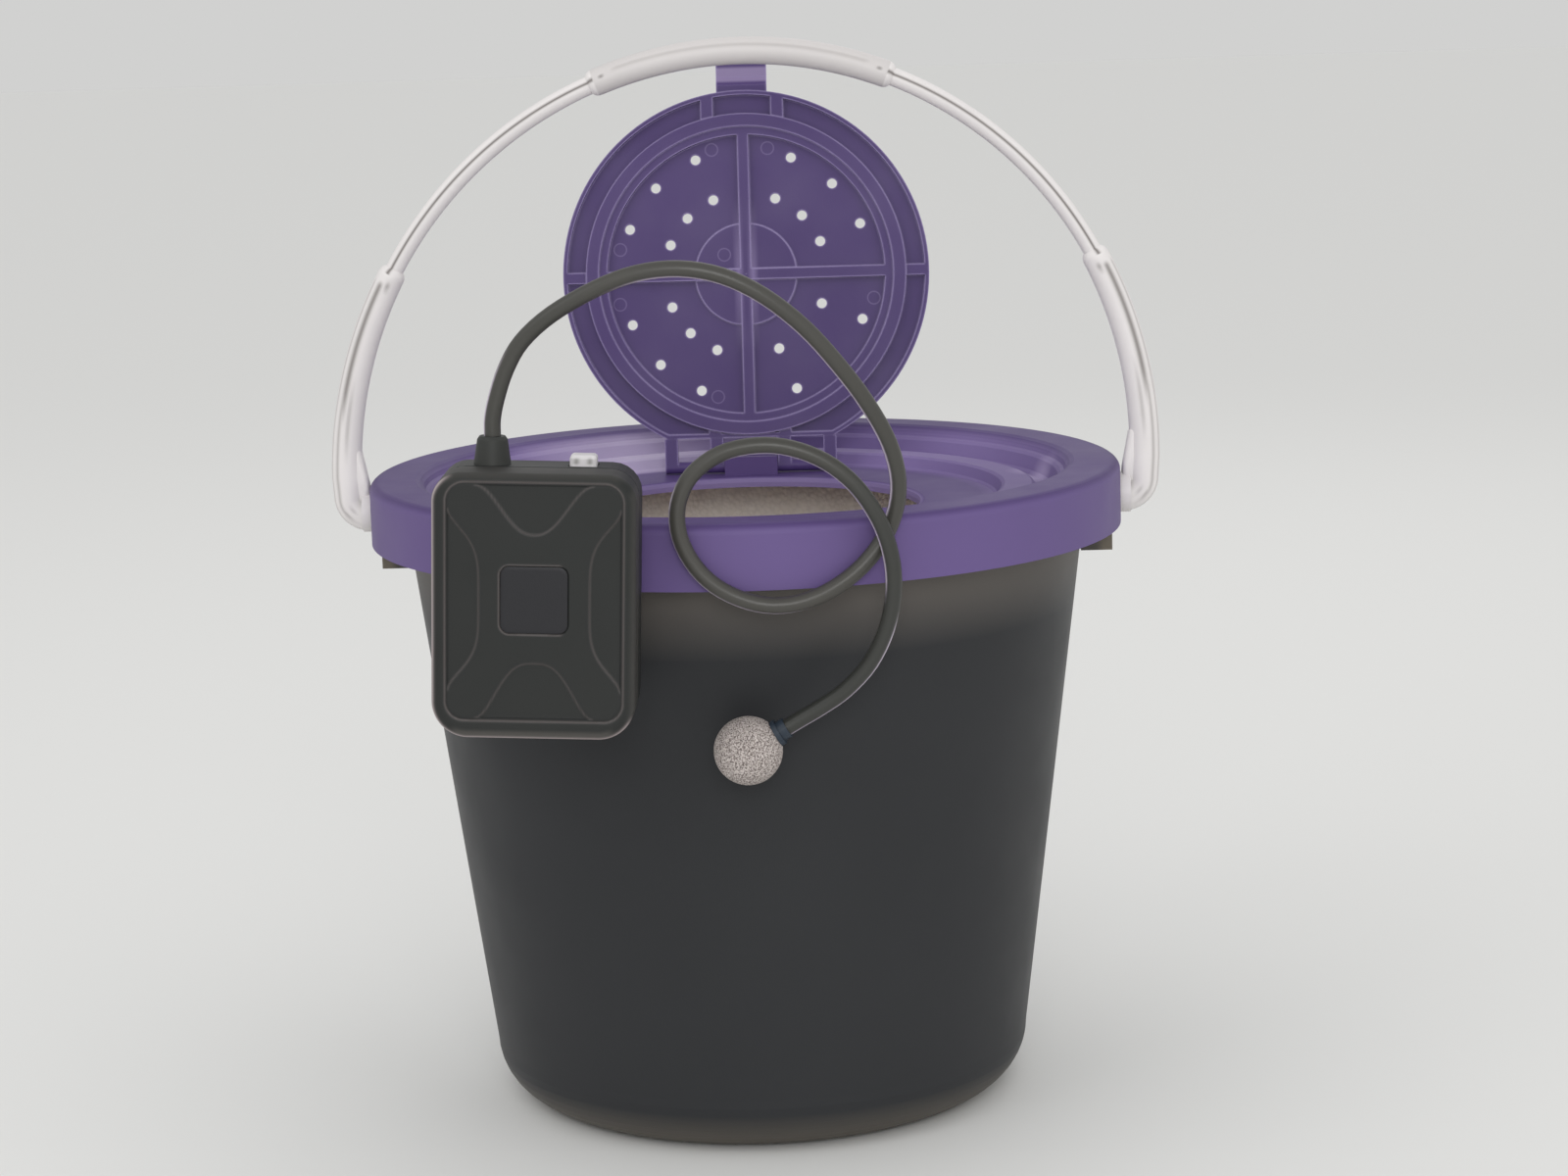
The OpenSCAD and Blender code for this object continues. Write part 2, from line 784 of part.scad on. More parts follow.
button_inset = 20.2;
nozzle_inset = 19.1;
button_x = case_w / 2 - button_inset;
nozzle_x = nozzle_inset - case_w / 2;
button_half = [5, 4.4];
nozzle_r = 2.5;

// Openings in the top of the case for the button and the nozzle
module top_openings() {
    translate([button_x - button_half[0] - 0.25, drive_y - button_half[1] - 0.25, room_half_h - 1])
        cube([2 * button_half[0] + 0.5, 2 * button_half[1] + 0.5, case_t + 2]);
    translate([nozzle_x, drive_y, room_half_h - 1])
        cylinder(h = case_t + 2, r = nozzle_r + 0.1, $fn = 32);
}

module pump_front_case() {
    color([0.232, 0.234, 0.232])
        on_pump()
            difference() {
                union() {
                    difference() {
                        rounded_half(front_y, split_y);
                        slab(room_front, split_y + 1, case_t);
                        front_face_cuts();
                    }
                    for (i = [0:3])
                        intersection() {
                            y_bar(screw_spots[i], boss_out[i], front_y + case_t, split_y);
                            slab(front_y + 1, split_y, 0.5);
                        }
                    for (side = [-1, 1])
                        translate([side * foot_x - 1.9, front_y + 4, -case_h / 2 - 1])
                            cube([3.8, 5, 1.6]);
                }
                for (i = [0:3]) y_bar(screw_spots[i], screw_r + 0.05, front_y + 5, split_y + 1);
                top_openings();
            }
}

// ---------------------------------------------------------------- back case
door_half_w = 24;
door_top = strap_z - 1;
door_t = 1.8;
door_gap = 0.2;
tongue = 1;
plate_top = case_h / 2 - 6;
hook_spots = [[-8, plate_top - 9], [8, plate_top - 9]];
hook_boss_l = 3.4;
ledge_x = [button_x - 6, button_x + 7];
ledge_y = drive_y + 4.4;
ledge_top = room_half_h - 6.3;
ledge_t = 2.1;

// Space that the door fills, wider by g
module door_space(g) {
    low = -case_h / 2 - 1;
    translate([-door_half_w - g, back_y - door_t - g, low])
        cube([2 * (door_half_w + g), door_t + g + 1, door_top + g - low]);
    translate([-door_half_w - tongue - g, back_y - door_t - g, low])
        cube([2 * (door_half_w + tongue + g), door_t / 2 + 2 * g, door_top + g - low]);
}

module pump_back_case() {
    color([0.22, 0.222, 0.22])
        on_pump()
            difference() {
                union() {
                    difference() {
                        rounded_half(back_y, back_half_y);
                        slab(back_half_y - 1, room_back, case_t);
                        translate([-door_half_w + 2, room_back - 1, -room_half_h + 1.5])
                            cube([2 * door_half_w - 4, back_t + 2, door_top - 2 + room_half_h - 1.5]);
                        door_space(door_gap);
                    }
                    for (i = [0:3])
                        intersection() {
                            y_bar(screw_spots[i], boss_out[i], back_half_y, back_y - 1);
                            slab(back_half_y, back_y - 1, 0.5);
                        }
                    for (spot = hook_spots) y_bar(spot, 3, room_back - hook_boss_l, room_back + 0.5);
                    translate([ledge_x[0], ledge_y, ledge_top - ledge_t])
                        cube([ledge_x[1] - ledge_x[0], room_back + 0.5 - ledge_y, ledge_t]);
                }
                for (i = [0:3]) {
                    y_bar(screw_spots[i], screw_r + 0.1, back_half_y - 1, back_y + 1);
                    y_bar(screw_spots[i], screw_head_r + 0.2, back_y - 4, back_y + 1);
                }
                for (spot = hook_spots) y_bar(spot, screw_r + 0.05, room_back - hook_boss_l - 1, back_y + 1);
                top_openings();
            }
}

module case_gasket() {
    color([0.12, 0.12, 0.12])
        on_pump()
            difference() {
                slab(split_y, back_half_y, 0.4);
                slab(split_y - 1, back_half_y + 1, case_t - 0.1);
                for (i = [0:3]) y_bar(screw_spots[i], screw_r + 0.2, split_y - 1, back_half_y + 1);
                top_openings();
            }
}

module blank_badge() {
    color([0.233, 0.233, 0.237])
        on_pump()
            translate([panel_x, front_y + badge_d, badge_z])
                rotate([90, 0, 0])
                    linear_extrude(badge_d - 0.2)
                        polygon(round_rect(badge_w / 2 - 0.15, badge_w / 2 - 0.15, badge_corner - 0.15, 5));
}

// Screw along Y with its head towards +Y at depth y_head
module cross_screw(spot, y_tip, y_head, head_r) {
    head_h = 1.6;
    difference() {
        union() {
            y_bar(spot, screw_r, y_tip, y_head + eps);
            y_bar(spot, head_r, y_head, y_head + head_h);
        }
        for (a = [0, 90])
            translate([spot[0], y_head + head_h, spot[1]])
                rotate([0, a, 0])
                    cube([2.2, 1.4, 0.5], center = true);
    }
}

module case_screws() {
    color([0.72, 0.72, 0.74])
        on_pump()
            for (spot = screw_spots) cross_screw(spot, front_y + 6, back_y - 4, screw_head_r);
}

module battery_door() {
    color([0.225, 0.227, 0.225])
        on_pump()
            difference() {
                intersection() {
                    rounded_half(back_y, back_half_y);
                    translate([0, 0, -door_gap]) door_space(0);
                }
                for (i = [0:4])
                    translate([-9, back_y - 0.5, door_top - 6 - 2.2 * i])
                        cube([18, 1, 1]);
            }
}

// ---------------------------------------------------------------- batteries
cell_x = cell_r + cell_gap;
cell_y = room_back - cell_r - 0.5;
cell_crimp = 1.6;
strip_w = 10;
strip_over = 5;
cell_foot = -room_half_h + strip_t + spring_h + 0.15;
cell_head = cell_foot + cell_l;

module one_battery(side) {
    nub_h = 1.4;
    translate([side * cell_x, cell_y, cell_foot]) {
        cylinder(h = cell_crimp, r1 = cell_r - cell_crimp / 2, r2 = cell_r, $fn = 64);
        translate([0, 0, cell_crimp]) cylinder(h = cell_l - nub_h - cell_crimp, r = cell_r, $fn = 64);
        cylinder(h = cell_l, r = 4.7, $fn = 32);
    }
}

module battery_left() {
    color([0.55, 0.42, 0.2]) on_pump() one_battery(-1);
}

module battery_right() {
    color([0.55, 0.42, 0.2]) on_pump() one_battery(1);
}

// Top strip that joins the two cells, and the strip under the springs
module contact_strip() {
    color([0.75, 0.75, 0.72])
        on_pump() {
            for (z = [cell_head + 0.1, -room_half_h + 0.05])
                translate([-cell_x - strip_over, cell_y - strip_w / 2, z])
                    cube([2 * (cell_x + strip_over), strip_w, strip_t]);
        }
}

spring_coil_r = 4.2;
spring_wire_r = 0.4;
spring_turns = 3;
spring_path = [
    for (i = [0:spring_turns * 10])
        let (a = 36 * i, z = spring_wire_r + (spring_h - 2 * spring_wire_r) * i / (spring_turns * 10))
        [spring_coil_r * cos(a), spring_coil_r * sin(a), z]
];

module battery_springs() {
    color([0.75, 0.75, 0.72])
        on_pump()
            for (side = [-1, 1])
                translate([side * cell_x, cell_y, -room_half_h + strip_t + 0.1])
                    tube(spring_path, spring_wire_r, 6, [0, 0, 1]);
}

// ---------------------------------------------------------------- air drive
shelf_z = cell_head + strip_t + 0.25;
bay_z = shelf_z + shelf_t;
drive_z = bay_z + motor_r + 1;
motor_front = drive_y - motor_to_drive - motor_l;
head_side = 5.7;
rod_reach = 17.4;
head_rise = 16;
head_x = [nozzle_x - head_side, button_x - rod_reach];
head_y = [drive_y - 6.2, drive_y + 5.9];
head_z = bay_z + head_rise;
diaphragm_t = 1.8;

module inner_shelf() {
    color([0.3, 0.3, 0.31])
        on_pump()
            difference() {
                union() {
                    translate([-room_half_w + 0.1, room_front + 0.1, shelf_z])
                        cube([2 * room_half_w - 0.2, room_back - room_front - 0.2, shelf_t]);
                    for (y = [motor_front + 1.5, motor_front + motor_l - 5.5])
                        translate([button_x - motor_r - 1.5, y, bay_z - eps])
                            cube([2 * motor_r + 3, 4, 5]);
                }
                translate([button_x, motor_front - 5, drive_z])
                    rotate([-90, 0, 0])
                        cylinder(h = motor_l + 10, r = motor_r + 0.05, $fn = small_fn);
            }
}

module motor_can() {
    color([0.7, 0.71, 0.73])
        on_pump()
            translate([button_x, motor_front, drive_z])
                rotate([-90, 0, 0])
                    difference() {
                        union() {
                            cylinder(h = motor_l, r = motor_r, $fn = small_fn);
                            translate([0, 0, motor_l - eps]) cylinder(h = 1.4, r = 3, $fn = 32);
                        }
                        translate([0, 0, 2]) cylinder(h = motor_l, r = 1.05, $fn = 32);
                    }
}

disc_y = [drive_y - 5.2, drive_y - 1.8];

module motor_eccentric() {
    color([0.62, 0.62, 0.6])
        on_pump() {
            y_bar([button_x, drive_z], 1, motor_front + 4, disc_y[0] + 1);
            y_bar([button_x, drive_z], pin_r + throw + 1.4, disc_y[0], disc_y[1], small_fn);
            y_bar([button_x - throw, drive_z], pin_r, disc_y[1] - 0.5, drive_y + 1.6);
        }
}

eye_r = pin_r + throw + 0.3;
rod_x = head_x[1] + diaphragm_t;

module connecting_rod() {
    color([0.86, 0.86, 0.82])
        on_pump()
            difference() {
                union() {
                    y_bar([button_x, drive_z], eye_r + 1.4, drive_y - 1.3, drive_y + 1.3, small_fn);
                    translate([rod_x, drive_y - 1.3, drive_z - 2])
                        cube([button_x - eye_r - rod_x, 2.6, 4]);
                }
                y_bar([button_x, drive_z], eye_r, drive_y - 2, drive_y + 2, small_fn);
            }
}

module diaphragm() {
    color([0.1, 0.1, 0.1])
        on_pump()
            translate([head_x[1], drive_y, drive_z])
                rotate([0, 90, 0])
                    cylinder(h = diaphragm_t, r = diaphragm_r, $fn = small_fn);
}

nozzle_top = case_h / 2 + boot_h - 3;

module pump_head() {
    color([0.5, 0.5, 0.48])
        on_pump()
            difference() {
                union() {
                    translate([head_x[0], head_y[0], bay_z])
                        cube([head_x[1] - head_x[0], head_y[1] - head_y[0], head_z - bay_z]);
                    translate([nozzle_x, drive_y, head_z - eps])
                        cylinder(h = case_h / 2 - head_z + 1, r = nozzle_r, $fn = 32);
                    translate([nozzle_x, drive_y, case_h / 2])
                        cylinder(h = nozzle_top - case_h / 2, r = 2, $fn = 32);
                }
                translate([nozzle_x, drive_y, drive_z])
                    cylinder(h = nozzle_top, r = 1, $fn = 24);
                translate([nozzle_x - 1, drive_y, drive_z])
                    rotate([0, 90, 0])
                        cylinder(h = head_x[1] - nozzle_x + 2, r = 1, $fn = 24);
            }
}

// ---------------------------------------------------------------- switch
travel = 1.8;
switch_z = [ledge_top + 0.1, ledge_top + 2.7];
flange_z = [room_half_h - 1, room_half_h - 0.15];

module power_switch() {
    color([0.15, 0.15, 0.16])
        on_pump()
            difference() {
                translate([button_x - 5, drive_y - 4.6, switch_z[0]])
                    cube([10, 9.8, switch_z[1] - switch_z[0]]);
                translate([button_x, drive_y, switch_z[1] - 2.2])
                    cylinder(h = 3, r = 2.3, $fn = 32);
            }
}

module power_button() {
    button_rise = 4;
    color([0.8, 0.8, 0.8])
        on_pump() {
            translate([button_x, drive_y, flange_z[1] - eps])
                linear_extrude(case_h / 2 + button_rise - 1 - flange_z[1])
                    polygon(round_rect(button_half[0], button_half[1], 1.6, 4));
            hull() {
                translate([button_x, drive_y, case_h / 2 + button_rise - 1.1])
                    linear_extrude(0.1)
                        polygon(round_rect(button_half[0], button_half[1], 1.6, 4));
                translate([button_x, drive_y, case_h / 2 + button_rise - 0.1])
                    linear_extrude(0.1)
                        polygon(round_rect(button_half[0] - 1, button_half[1] - 1, 1.2, 4));
            }
            translate([button_x - button_half[0] - 1, drive_y - button_half[1] - 1, flange_z[0]])
                cube([2 * button_half[0] + 2, 2 * button_half[1] + 2, flange_z[1] - flange_z[0]]);
            translate([button_x, drive_y, switch_z[1] - 0.2])
                cylinder(h = flange_z[0] - switch_z[1] + 0.3, r = 2, $fn = 32);
        }
}

// ---------------------------------------------------------------- rim hook

module rim_hook() {
    color([0.7, 0.7, 0.72])
        on_pump()
            difference() {
                union() {
                    translate([-strap_half_w - 4, back_y, strap_z])
                        cube([2 * strap_half_w + 8, strap_t, plate_top - strap_z]);
                    translate([-strap_half_w, back_y, strap_z])
                        cube([2 * strap_half_w, hook_reach, strap_t]);
                    translate([-strap_half_w, back_y + hook_reach - strap_t, strap_z - hook_drop])
                        cube([2 * strap_half_w, strap_t, hook_drop + strap_t]);
                }
                for (spot = hook_spots) y_bar(spot, screw_r + 0.1, back_y - 1, back_y + strap_t + 1);
            }
}

module hook_screws() {
    color([0.72, 0.72, 0.74])
        on_pump()
            for (spot = hook_spots) cross_screw(spot, room_back - hook_boss_l + 0.4, back_y + strap_t, 2);
}

// ---------------------------------------------------------------- hose
module tube_boot() {
    color([0.243, 0.251, 0.243])
        on_pump()
            translate([nozzle_x, drive_y, case_h / 2])
                difference() {
                    union() {
                        cylinder(h = boot_h - 1.2, r1 = 6.6, r2 = 5.4, $fn = small_fn);
                        translate([0, 0, boot_h - 1.2 - eps])
                            cylinder(h = 1.2 + eps, r1 = 5.4, r2 = 4.6, $fn = small_fn);
                    }
                    translate([0, 0, -1]) cylinder(h = 2.2, r = nozzle_r + 0.15, $fn = 32);
                    translate([0, 0, -1]) cylinder(h = boot_h - 1.8, r = 2.05, $fn = 32);
                }
}

// Middle of the boot's top face, where the hose comes out
hose_start = [
    pump_x + nozzle_x * cos(pump_tilt) + (case_h / 2 + boot_h) * sin(pump_tilt),
    pump_y + drive_y,
    pump_z - nozzle_x * sin(pump_tilt) + (case_h / 2 + boot_h) * cos(pump_tilt)
];
start_dir = [sin(pump_tilt), 0, cos(pump_tilt)];

// Centre of the stone and the direction in which the hose leaves it
stone_at = [3, -144, 167.4];
stone_dir = [cos(30), 0, sin(30)];
collar_out = stone_r + 4;
hose_end = stone_at + collar_out * stone_dir;

hose_route = [
    [-75.6, -158, 309],
    [-69, -159.1, 319.9],
    [-58.2, -160.8, 329.2],
    [-43.8, -162.2, 337.7],
    [-30, -163.1, 342.4],
    [-15, -163.9, 343.7],
    [-0.1, -164, 340.8],
    [14.2, -163, 333.3],
    [27.8, -161, 321.8],
    [39.2, -158, 308.2],
    [48.9, -153.9, 294],
    [56.4, -148.8, 279],
    [59.5, -144.6, 264.8],
    [57.8, -142.7, 252.1],
    [52.2, -143.3, 241.2],
    [43.2, -145.8, 231.8],
    [31.8, -148.7, 225],
    [20, -150.6, 221.8],
    [8.1, -151.4, 222.5],
    [-4.2, -151.6, 227.7],
    [-13.2, -151.5, 236],
    [-18.7, -151.5, 247.4],
    [-18.9, -151.5, 259.1],
    [-13.7, -151.5, 269.4],
    [-3.2, -151.5, 276.8],
    [9.8, -151.5, 279.4],
    [22, -151.4, 278],
    [34, -151.1, 272.8],
    [44.1, -150.6, 264.1],
    [51.9, -149.9, 252],
    [56.1, -149, 239],
    [56.9, -148.1, 226],
    [54.2, -147, 211.9],
    [47.9, -146, 199],
    [38.9, -145, 189.2],
    [30, -144.3, 183]
];

function spline(a, b, c, d, s) =
    0.5 * (2 * b + (c - a) * s + (2 * a - 5 * b + 4 * c - d) * s * s + (3 * b - a - 3 * c + d) * s * s * s);

hose_knots = concat(
    [hose_start, hose_start + hose_d * start_dir],
    hose_route,
    [hose_end + hose_d * stone_dir, hose_end]
);
hose_path = concat(
    [hose_knots[0]],
    [
        for (i = [1:len(hose_knots) - 3])
            each [
                hose_knots[i],
                spline(hose_knots[i - 1], hose_knots[i], hose_knots[i + 1], hose_knots[i + 2], 0.5)
            ]
    ],
    [hose_knots[len(hose_knots) - 2], hose_knots[len(hose_knots) - 1]]
);

module air_hose() {
    color([0.36, 0.35, 0.34])
        tube(hose_path, hose_d / 2, 10, [0, 1, 0]);
}

// Places a piece drawn along +Z so that it points along the stone's axis
module on_stone() {
    translate(stone_at)
        rotate([0, 60, 0])
            children();
}

module stone_nipple() {
    color([0.16, 0.2, 0.25])
        on_stone() {
            translate([0, 0, stone_r - 0.8]) cylinder(h = 1.8, r = 4.9, $fn = small_fn);
            translate([0, 0, stone_r - 6]) cylinder(h = 6, r = 2, $fn = 32);
            translate([0, 0, stone_r + 0.9]) cylinder(h = collar_out - stone_r - 0.9, r = 3.8, $fn = small_fn);
        }
}

module air_stone() {
    color([0.65, 0.61, 0.6])
        on_stone()
            difference() {
                sphere(r = stone_r, $fn = 64);
                translate([0, 0, stone_r - 6.2]) cylinder(h = 10, r = 2.05, $fn = 32);
                translate([0, 0, stone_r - 0.8]) cylinder(h = 10, r = 8, $fn = 32);
            }
}

bucket_shell();
foam_liner();
lid();
hatch_door();
bail_handle();
pump_front_case();
pump_back_case();
case_gasket();
blank_badge();
case_screws();
battery_door();
battery_left();
battery_right();
contact_strip();
battery_springs();
inner_shelf();
motor_can();
motor_eccentric();
connecting_rod();
diaphragm();
pump_head();
power_switch();
power_button();
rim_hook();
hook_screws();
tube_boot();
air_hose();
stone_nipple();
air_stone();
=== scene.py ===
import math

import bmesh
import bpy
from mathutils import Matrix, Vector


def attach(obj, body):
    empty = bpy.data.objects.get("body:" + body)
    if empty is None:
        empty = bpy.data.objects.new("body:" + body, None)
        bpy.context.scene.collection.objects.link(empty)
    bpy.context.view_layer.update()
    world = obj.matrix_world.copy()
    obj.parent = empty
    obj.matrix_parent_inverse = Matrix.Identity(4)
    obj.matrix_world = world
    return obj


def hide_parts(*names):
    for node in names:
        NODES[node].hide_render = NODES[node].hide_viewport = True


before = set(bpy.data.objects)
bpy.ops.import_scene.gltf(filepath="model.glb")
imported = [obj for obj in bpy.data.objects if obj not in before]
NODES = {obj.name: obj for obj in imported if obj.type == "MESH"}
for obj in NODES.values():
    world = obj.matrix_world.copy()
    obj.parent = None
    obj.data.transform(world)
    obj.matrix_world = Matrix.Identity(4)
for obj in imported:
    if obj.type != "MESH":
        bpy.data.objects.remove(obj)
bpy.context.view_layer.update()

# ------------------------------------------------------------------ camera
MM = 0.001
PHOTO_W, PHOTO_H = 1600, 1200
SENSOR_W = 36.0
FOCAL_PX = 3721.0
AIM_POINT = Vector((0, 0, 0.2358))
AIM_PIXEL = (761.2, 513.3)
AIM_DISTANCE = 1.447
ELEVATION = math.radians(8.67)
AZIMUTH = math.radians(2.0)
ROLL = math.radians(-1.84)


def add_camera():
    """Camera with the photograph's angle, distance and framing."""
    back = Vector((
        math.sin(AZIMUTH) * math.cos(ELEVATION),
        -math.cos(AZIMUTH) * math.cos(ELEVATION),
        math.sin(ELEVATION),
    ))
    right = Vector((math.cos(AZIMUTH), math.sin(AZIMUTH), 0))
    level = Matrix((right, back.cross(right), back))
    ray = Vector((
        (AIM_PIXEL[0] - PHOTO_W / 2) / FOCAL_PX,
        (PHOTO_H / 2 - AIM_PIXEL[1]) / FOCAL_PX,
        -1,
    ))
    off_axis = Vector((0, 0, -1)).rotation_difference(ray).to_matrix()
    to_camera = off_axis @ Matrix.Rotation(ROLL, 3, "Z").transposed() @ level
    data = bpy.data.cameras.new("camera")
    data.sensor_width = SENSOR_W
    data.lens = SENSOR_W * FOCAL_PX / PHOTO_W
    camera = bpy.data.objects.new("camera", data)
    bpy.context.scene.collection.objects.link(camera)
    camera.matrix_world = (
        Matrix.Translation(AIM_POINT + AIM_DISTANCE * back)
        @ to_camera.transposed().to_4x4()
    )
    bpy.context.scene.camera = camera


add_camera()


# ------------------------------------------------------------------ meshes
SHARP_ANGLE = math.radians(38)


def link_mesh(name, points, faces, smooth=True):
    """New mesh object in the row frame."""
    mesh = bpy.data.meshes.new(name)
    mesh.from_pydata([tuple(p) for p in points], [], faces)
    mesh.validate()
    if smooth:
        mesh.shade_smooth()
        mesh.set_sharp_from_angle(angle=SHARP_ANGLE)
    made = bpy.data.objects.new(name, mesh)
    bpy.context.scene.collection.objects.link(made)
    return made


def paint(made, name, values):
    """Stores one number for each point of a mesh, for its material to read."""
    layer = made.data.attributes.new(name, "FLOAT", "POINT")
    layer.data.foreach_set("value", values)


def bell(distance, width):
    """1 at no distance, falling to 0 within about twice the width."""
    return math.exp(-(distance / width) ** 2)


def smooth(value, start, end):
    """0 at start, 1 at end, with an even curve between."""
    t = min(max((value - start) / (end - start), 0), 1)
    return t * t * (3 - 2 * t)


def line_at(distance, line):
    """Strength of a soft line that is given as (strength, place, width)."""
    strength, place, width = line
    return strength * bell(distance - place, width)


def ring_faces(rings, sides):
    """Quads between successive rings of points."""
    faces = []
    for i in range(rings - 1):
        for j in range(sides):
            k = (j + 1) % sides
            faces.append((
                i * sides + j, i * sides + k, (i + 1) * sides + k, (i + 1) * sides + j))
    return faces


def first_cap(sides):
    """Face over the first ring."""
    return tuple(range(sides))[::-1]


def capped_faces(rings, sides):
    """Quads between successive rings, and a face over each end."""
    last_cap = tuple(range((rings - 1) * sides, rings * sides))
    return ring_faces(rings, sides) + [first_cap(sides), last_cap]


def catmull_rom(points, steps):
    """Smooth line through the points, with so many parts per stretch."""
    padded = [2 * points[0] - points[1]] + points + [2 * points[-1] - points[-2]]
    line = []
    for i in range(1, len(padded) - 2):
        a, b, c, d = padded[i - 1:i + 3]
        for s in range(steps):
            t = s / steps
            line.append(0.5 * (
                2 * b + (c - a) * t
                + (2 * a - 5 * b + 4 * c - d) * t * t
                + (3 * b - a - 3 * c + d) * t ** 3
            ))
    line.append(points[-1].copy())
    return line


def line_length(line):
    return sum((b - a).length for a, b in zip(line, line[1:]))


def tube(name, line, radius, sides):
    """Round tube along a line, with closed ends, and each point's way out and ahead."""
    points, ways, normal = [], [], None
    for i, here in enumerate(line):
        ahead = (line[min(i + 1, len(line) - 1)] - line[max(i - 1, 0)]).normalized()
        if normal is None:
            normal = ahead.orthogonal().normalized()
        normal = (normal - ahead * normal.dot(ahead)).normalized()
        across = ahead.cross(normal)
        for j in range(sides):
            turn = 2 * math.pi * j / sides
            out = math.cos(turn) * normal + math.sin(turn) * across
            points.append(here + radius * out)
            ways.append((out, ahead))
    return link_mesh(name, points, capped_faces(len(line), sides)), ways


# -------------------------------------------------------------------- hose
HOSE_D = 6.0 * MM
HOSE_START = Vector((-83.0062, -157.9212, 286.2991)) * MM
HOSE_START_WAY = Vector((0.045363, 0, 0.998971))
HOSE_END = Vector((17.289, -144, 175.65)) * MM
HOSE_END_TILT = math.radians(30)
HOSE_END_WAY = Vector((math.cos(HOSE_END_TILT), 0, math.sin(HOSE_END_TILT)))
HOSE_ROUTE_MM = [
    (-81, -158, 299.6), (-77.3, -158.3, 309.6), (-71.2, -159, 319.4), (-60.2, -160.6, 328.8),
    (-44.4, -162.1, 337.4), (-30, -163.1, 342.4), (-15, -163.9, 343.7), (-0.1, -164, 340.8),
    (14.2, -163, 333.3), (27.8, -161, 321.8), (39.2, -158, 308.2), (48.9, -153.9, 294),
    (56.4, -148.8, 279), (59.5, -144.6, 264.8), (57.8, -142.7, 252.1), (52.2, -143.3, 241.2),
    (43.2, -145.8, 231.8), (31.8, -148.7, 225), (20, -150.6, 221.8), (8.1, -151.4, 222.5),
    (-4.2, -151.6, 227.7), (-13.2, -151.5, 236), (-18.7, -151.5, 247.4), (-18.9, -151.5, 259.1),
    (-13.7, -151.5, 269.4), (-3.2, -151.5, 276.8), (9.8, -151.5, 279.4), (22, -151.4, 278),
    (34, -151.1, 272.8), (44.1, -150.6, 264.1), (51.9, -149.9, 252), (56.1, -149, 239),
    (56.9, -148.1, 226), (54.2, -147, 211.9), (47.9, -146, 199), (38.9, -145, 189.2),
    (30, -144.3, 183),
]
HOSE_SIDES, HOSE_STEPS = 48, 4

# The pale line of painted light along the hose: the side it is on, then the side near the
# stone, how far it turns from there to the front, and its width round the hose
RIM_LIGHT_SIDE, LAST_RIM_LIGHT_SIDE = Vector((-0.75, 0, -0.66)), Vector((0.6, 0, -0.8))
RIM_LIGHT_TURN = math.radians(20)
RIM_LIGHT_W = math.radians(11)
# It fades where the hose runs nearly towards that side, and ends where it runs to the front
SIDE_CLEAR, FRONT_CLEAR = (0.25, 0.6), 0.05
# Shares of the hose's length: where the line changes sides, and where painted shade starts
LAST_START, LAST_FADE = 0.86, 0.02
LOWER_SHADE_START, LOWER_SHADE_FADE = 0.72, 0.1


def painted_rim_light_at(out, ahead, share):
    """Strength of the pale line of painted light that runs along the hose's lower left side,
    and on its lower right side near the stone. share is the part of the hose behind."""
    wanted = LAST_RIM_LIGHT_SIDE if share > LAST_START else RIM_LIGHT_SIDE
    side = wanted - ahead * wanted.dot(ahead)
    front = Vector((0, -1, 0)) - ahead * -ahead.y
    strength = smooth(side.length, *SIDE_CLEAR) * smooth(abs(share - LAST_START), 0, LAST_FADE)
    if strength == 0 or front.length < FRONT_CLEAR:
        return 0.0
    side.normalize()
    front.normalize()
    middle = (math.cos(RIM_LIGHT_TURN) * side + math.sin(RIM_LIGHT_TURN) * front).normalized()
    return strength * bell(out.angle(middle), RIM_LIGHT_W)


def add_hose():
    route = [HOSE_START, HOSE_START + HOSE_D * HOSE_START_WAY]
    route += [Vector(p) * MM for p in HOSE_ROUTE_MM]
    route += [HOSE_END + HOSE_D * HOSE_END_WAY, HOSE_END]
    line = catmull_rom(route, HOSE_STEPS)
    piece, ways = tube("hose", line, HOSE_D / 2, HOSE_SIDES)
    shares = [i / len(ways) for i in range(len(ways))]
    # A pale line of painted light along the hose's edge
    paint(piece, "painted_rim_light", [painted_rim_light_at(*way, share) for way, share in zip(ways, shares)])
    # Painted shade on the hose's last part
    paint(piece, "lower", [
        smooth(share, LOWER_SHADE_START, LOWER_SHADE_START + LOWER_SHADE_FADE) for share in shares])
    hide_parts("air_hose")
    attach(piece, "pump")
    line_length(line)
    return piece


hose = add_hose()


# -------------------------------------------------------------------- bail
# All in millimetres and degrees. An angle along the bail is 0 where the leg meets the
# arch and 90 at the top of the arch.
PIVOT_Z = 236.4
LEG_X = 157.5
LEG_R, LEG_TAPER, LEG_ANGLE = 6.0, 0.6, 29.4
BAR_R = 3.6
GRIP_R, GRIP_START = 5.4, 70.0
SHOULDER = 1.3
BEND_R, BEND_DROP, BEND_STEP = 8.0, 1.6, 9
BEND_Z = PIVOT_Z + BEND_R - BEND_DROP
ARCH_Z = PIVOT_Z + 14.6
ARCH_R, ARCH_PEAK, ARCH_SET = LEG_X + 0.5, 4.5, 3.4
COARSE_STEP, FINE_STEP, FINE_REACH = 1.0, 0.2, 2
BAIL_SIDES, END_SIDES = 56, 48
LID_R = 148.0
STUB_IN, STUB_R, STUB_EDGE = 134.21, 5.52, 0.6
BOSS_IN, BOSS_END, BOSS_R, BOSS_EDGE, BOSS_EDGE_MID = 145.3, 152.0, 8.0, 1.2, 0.35
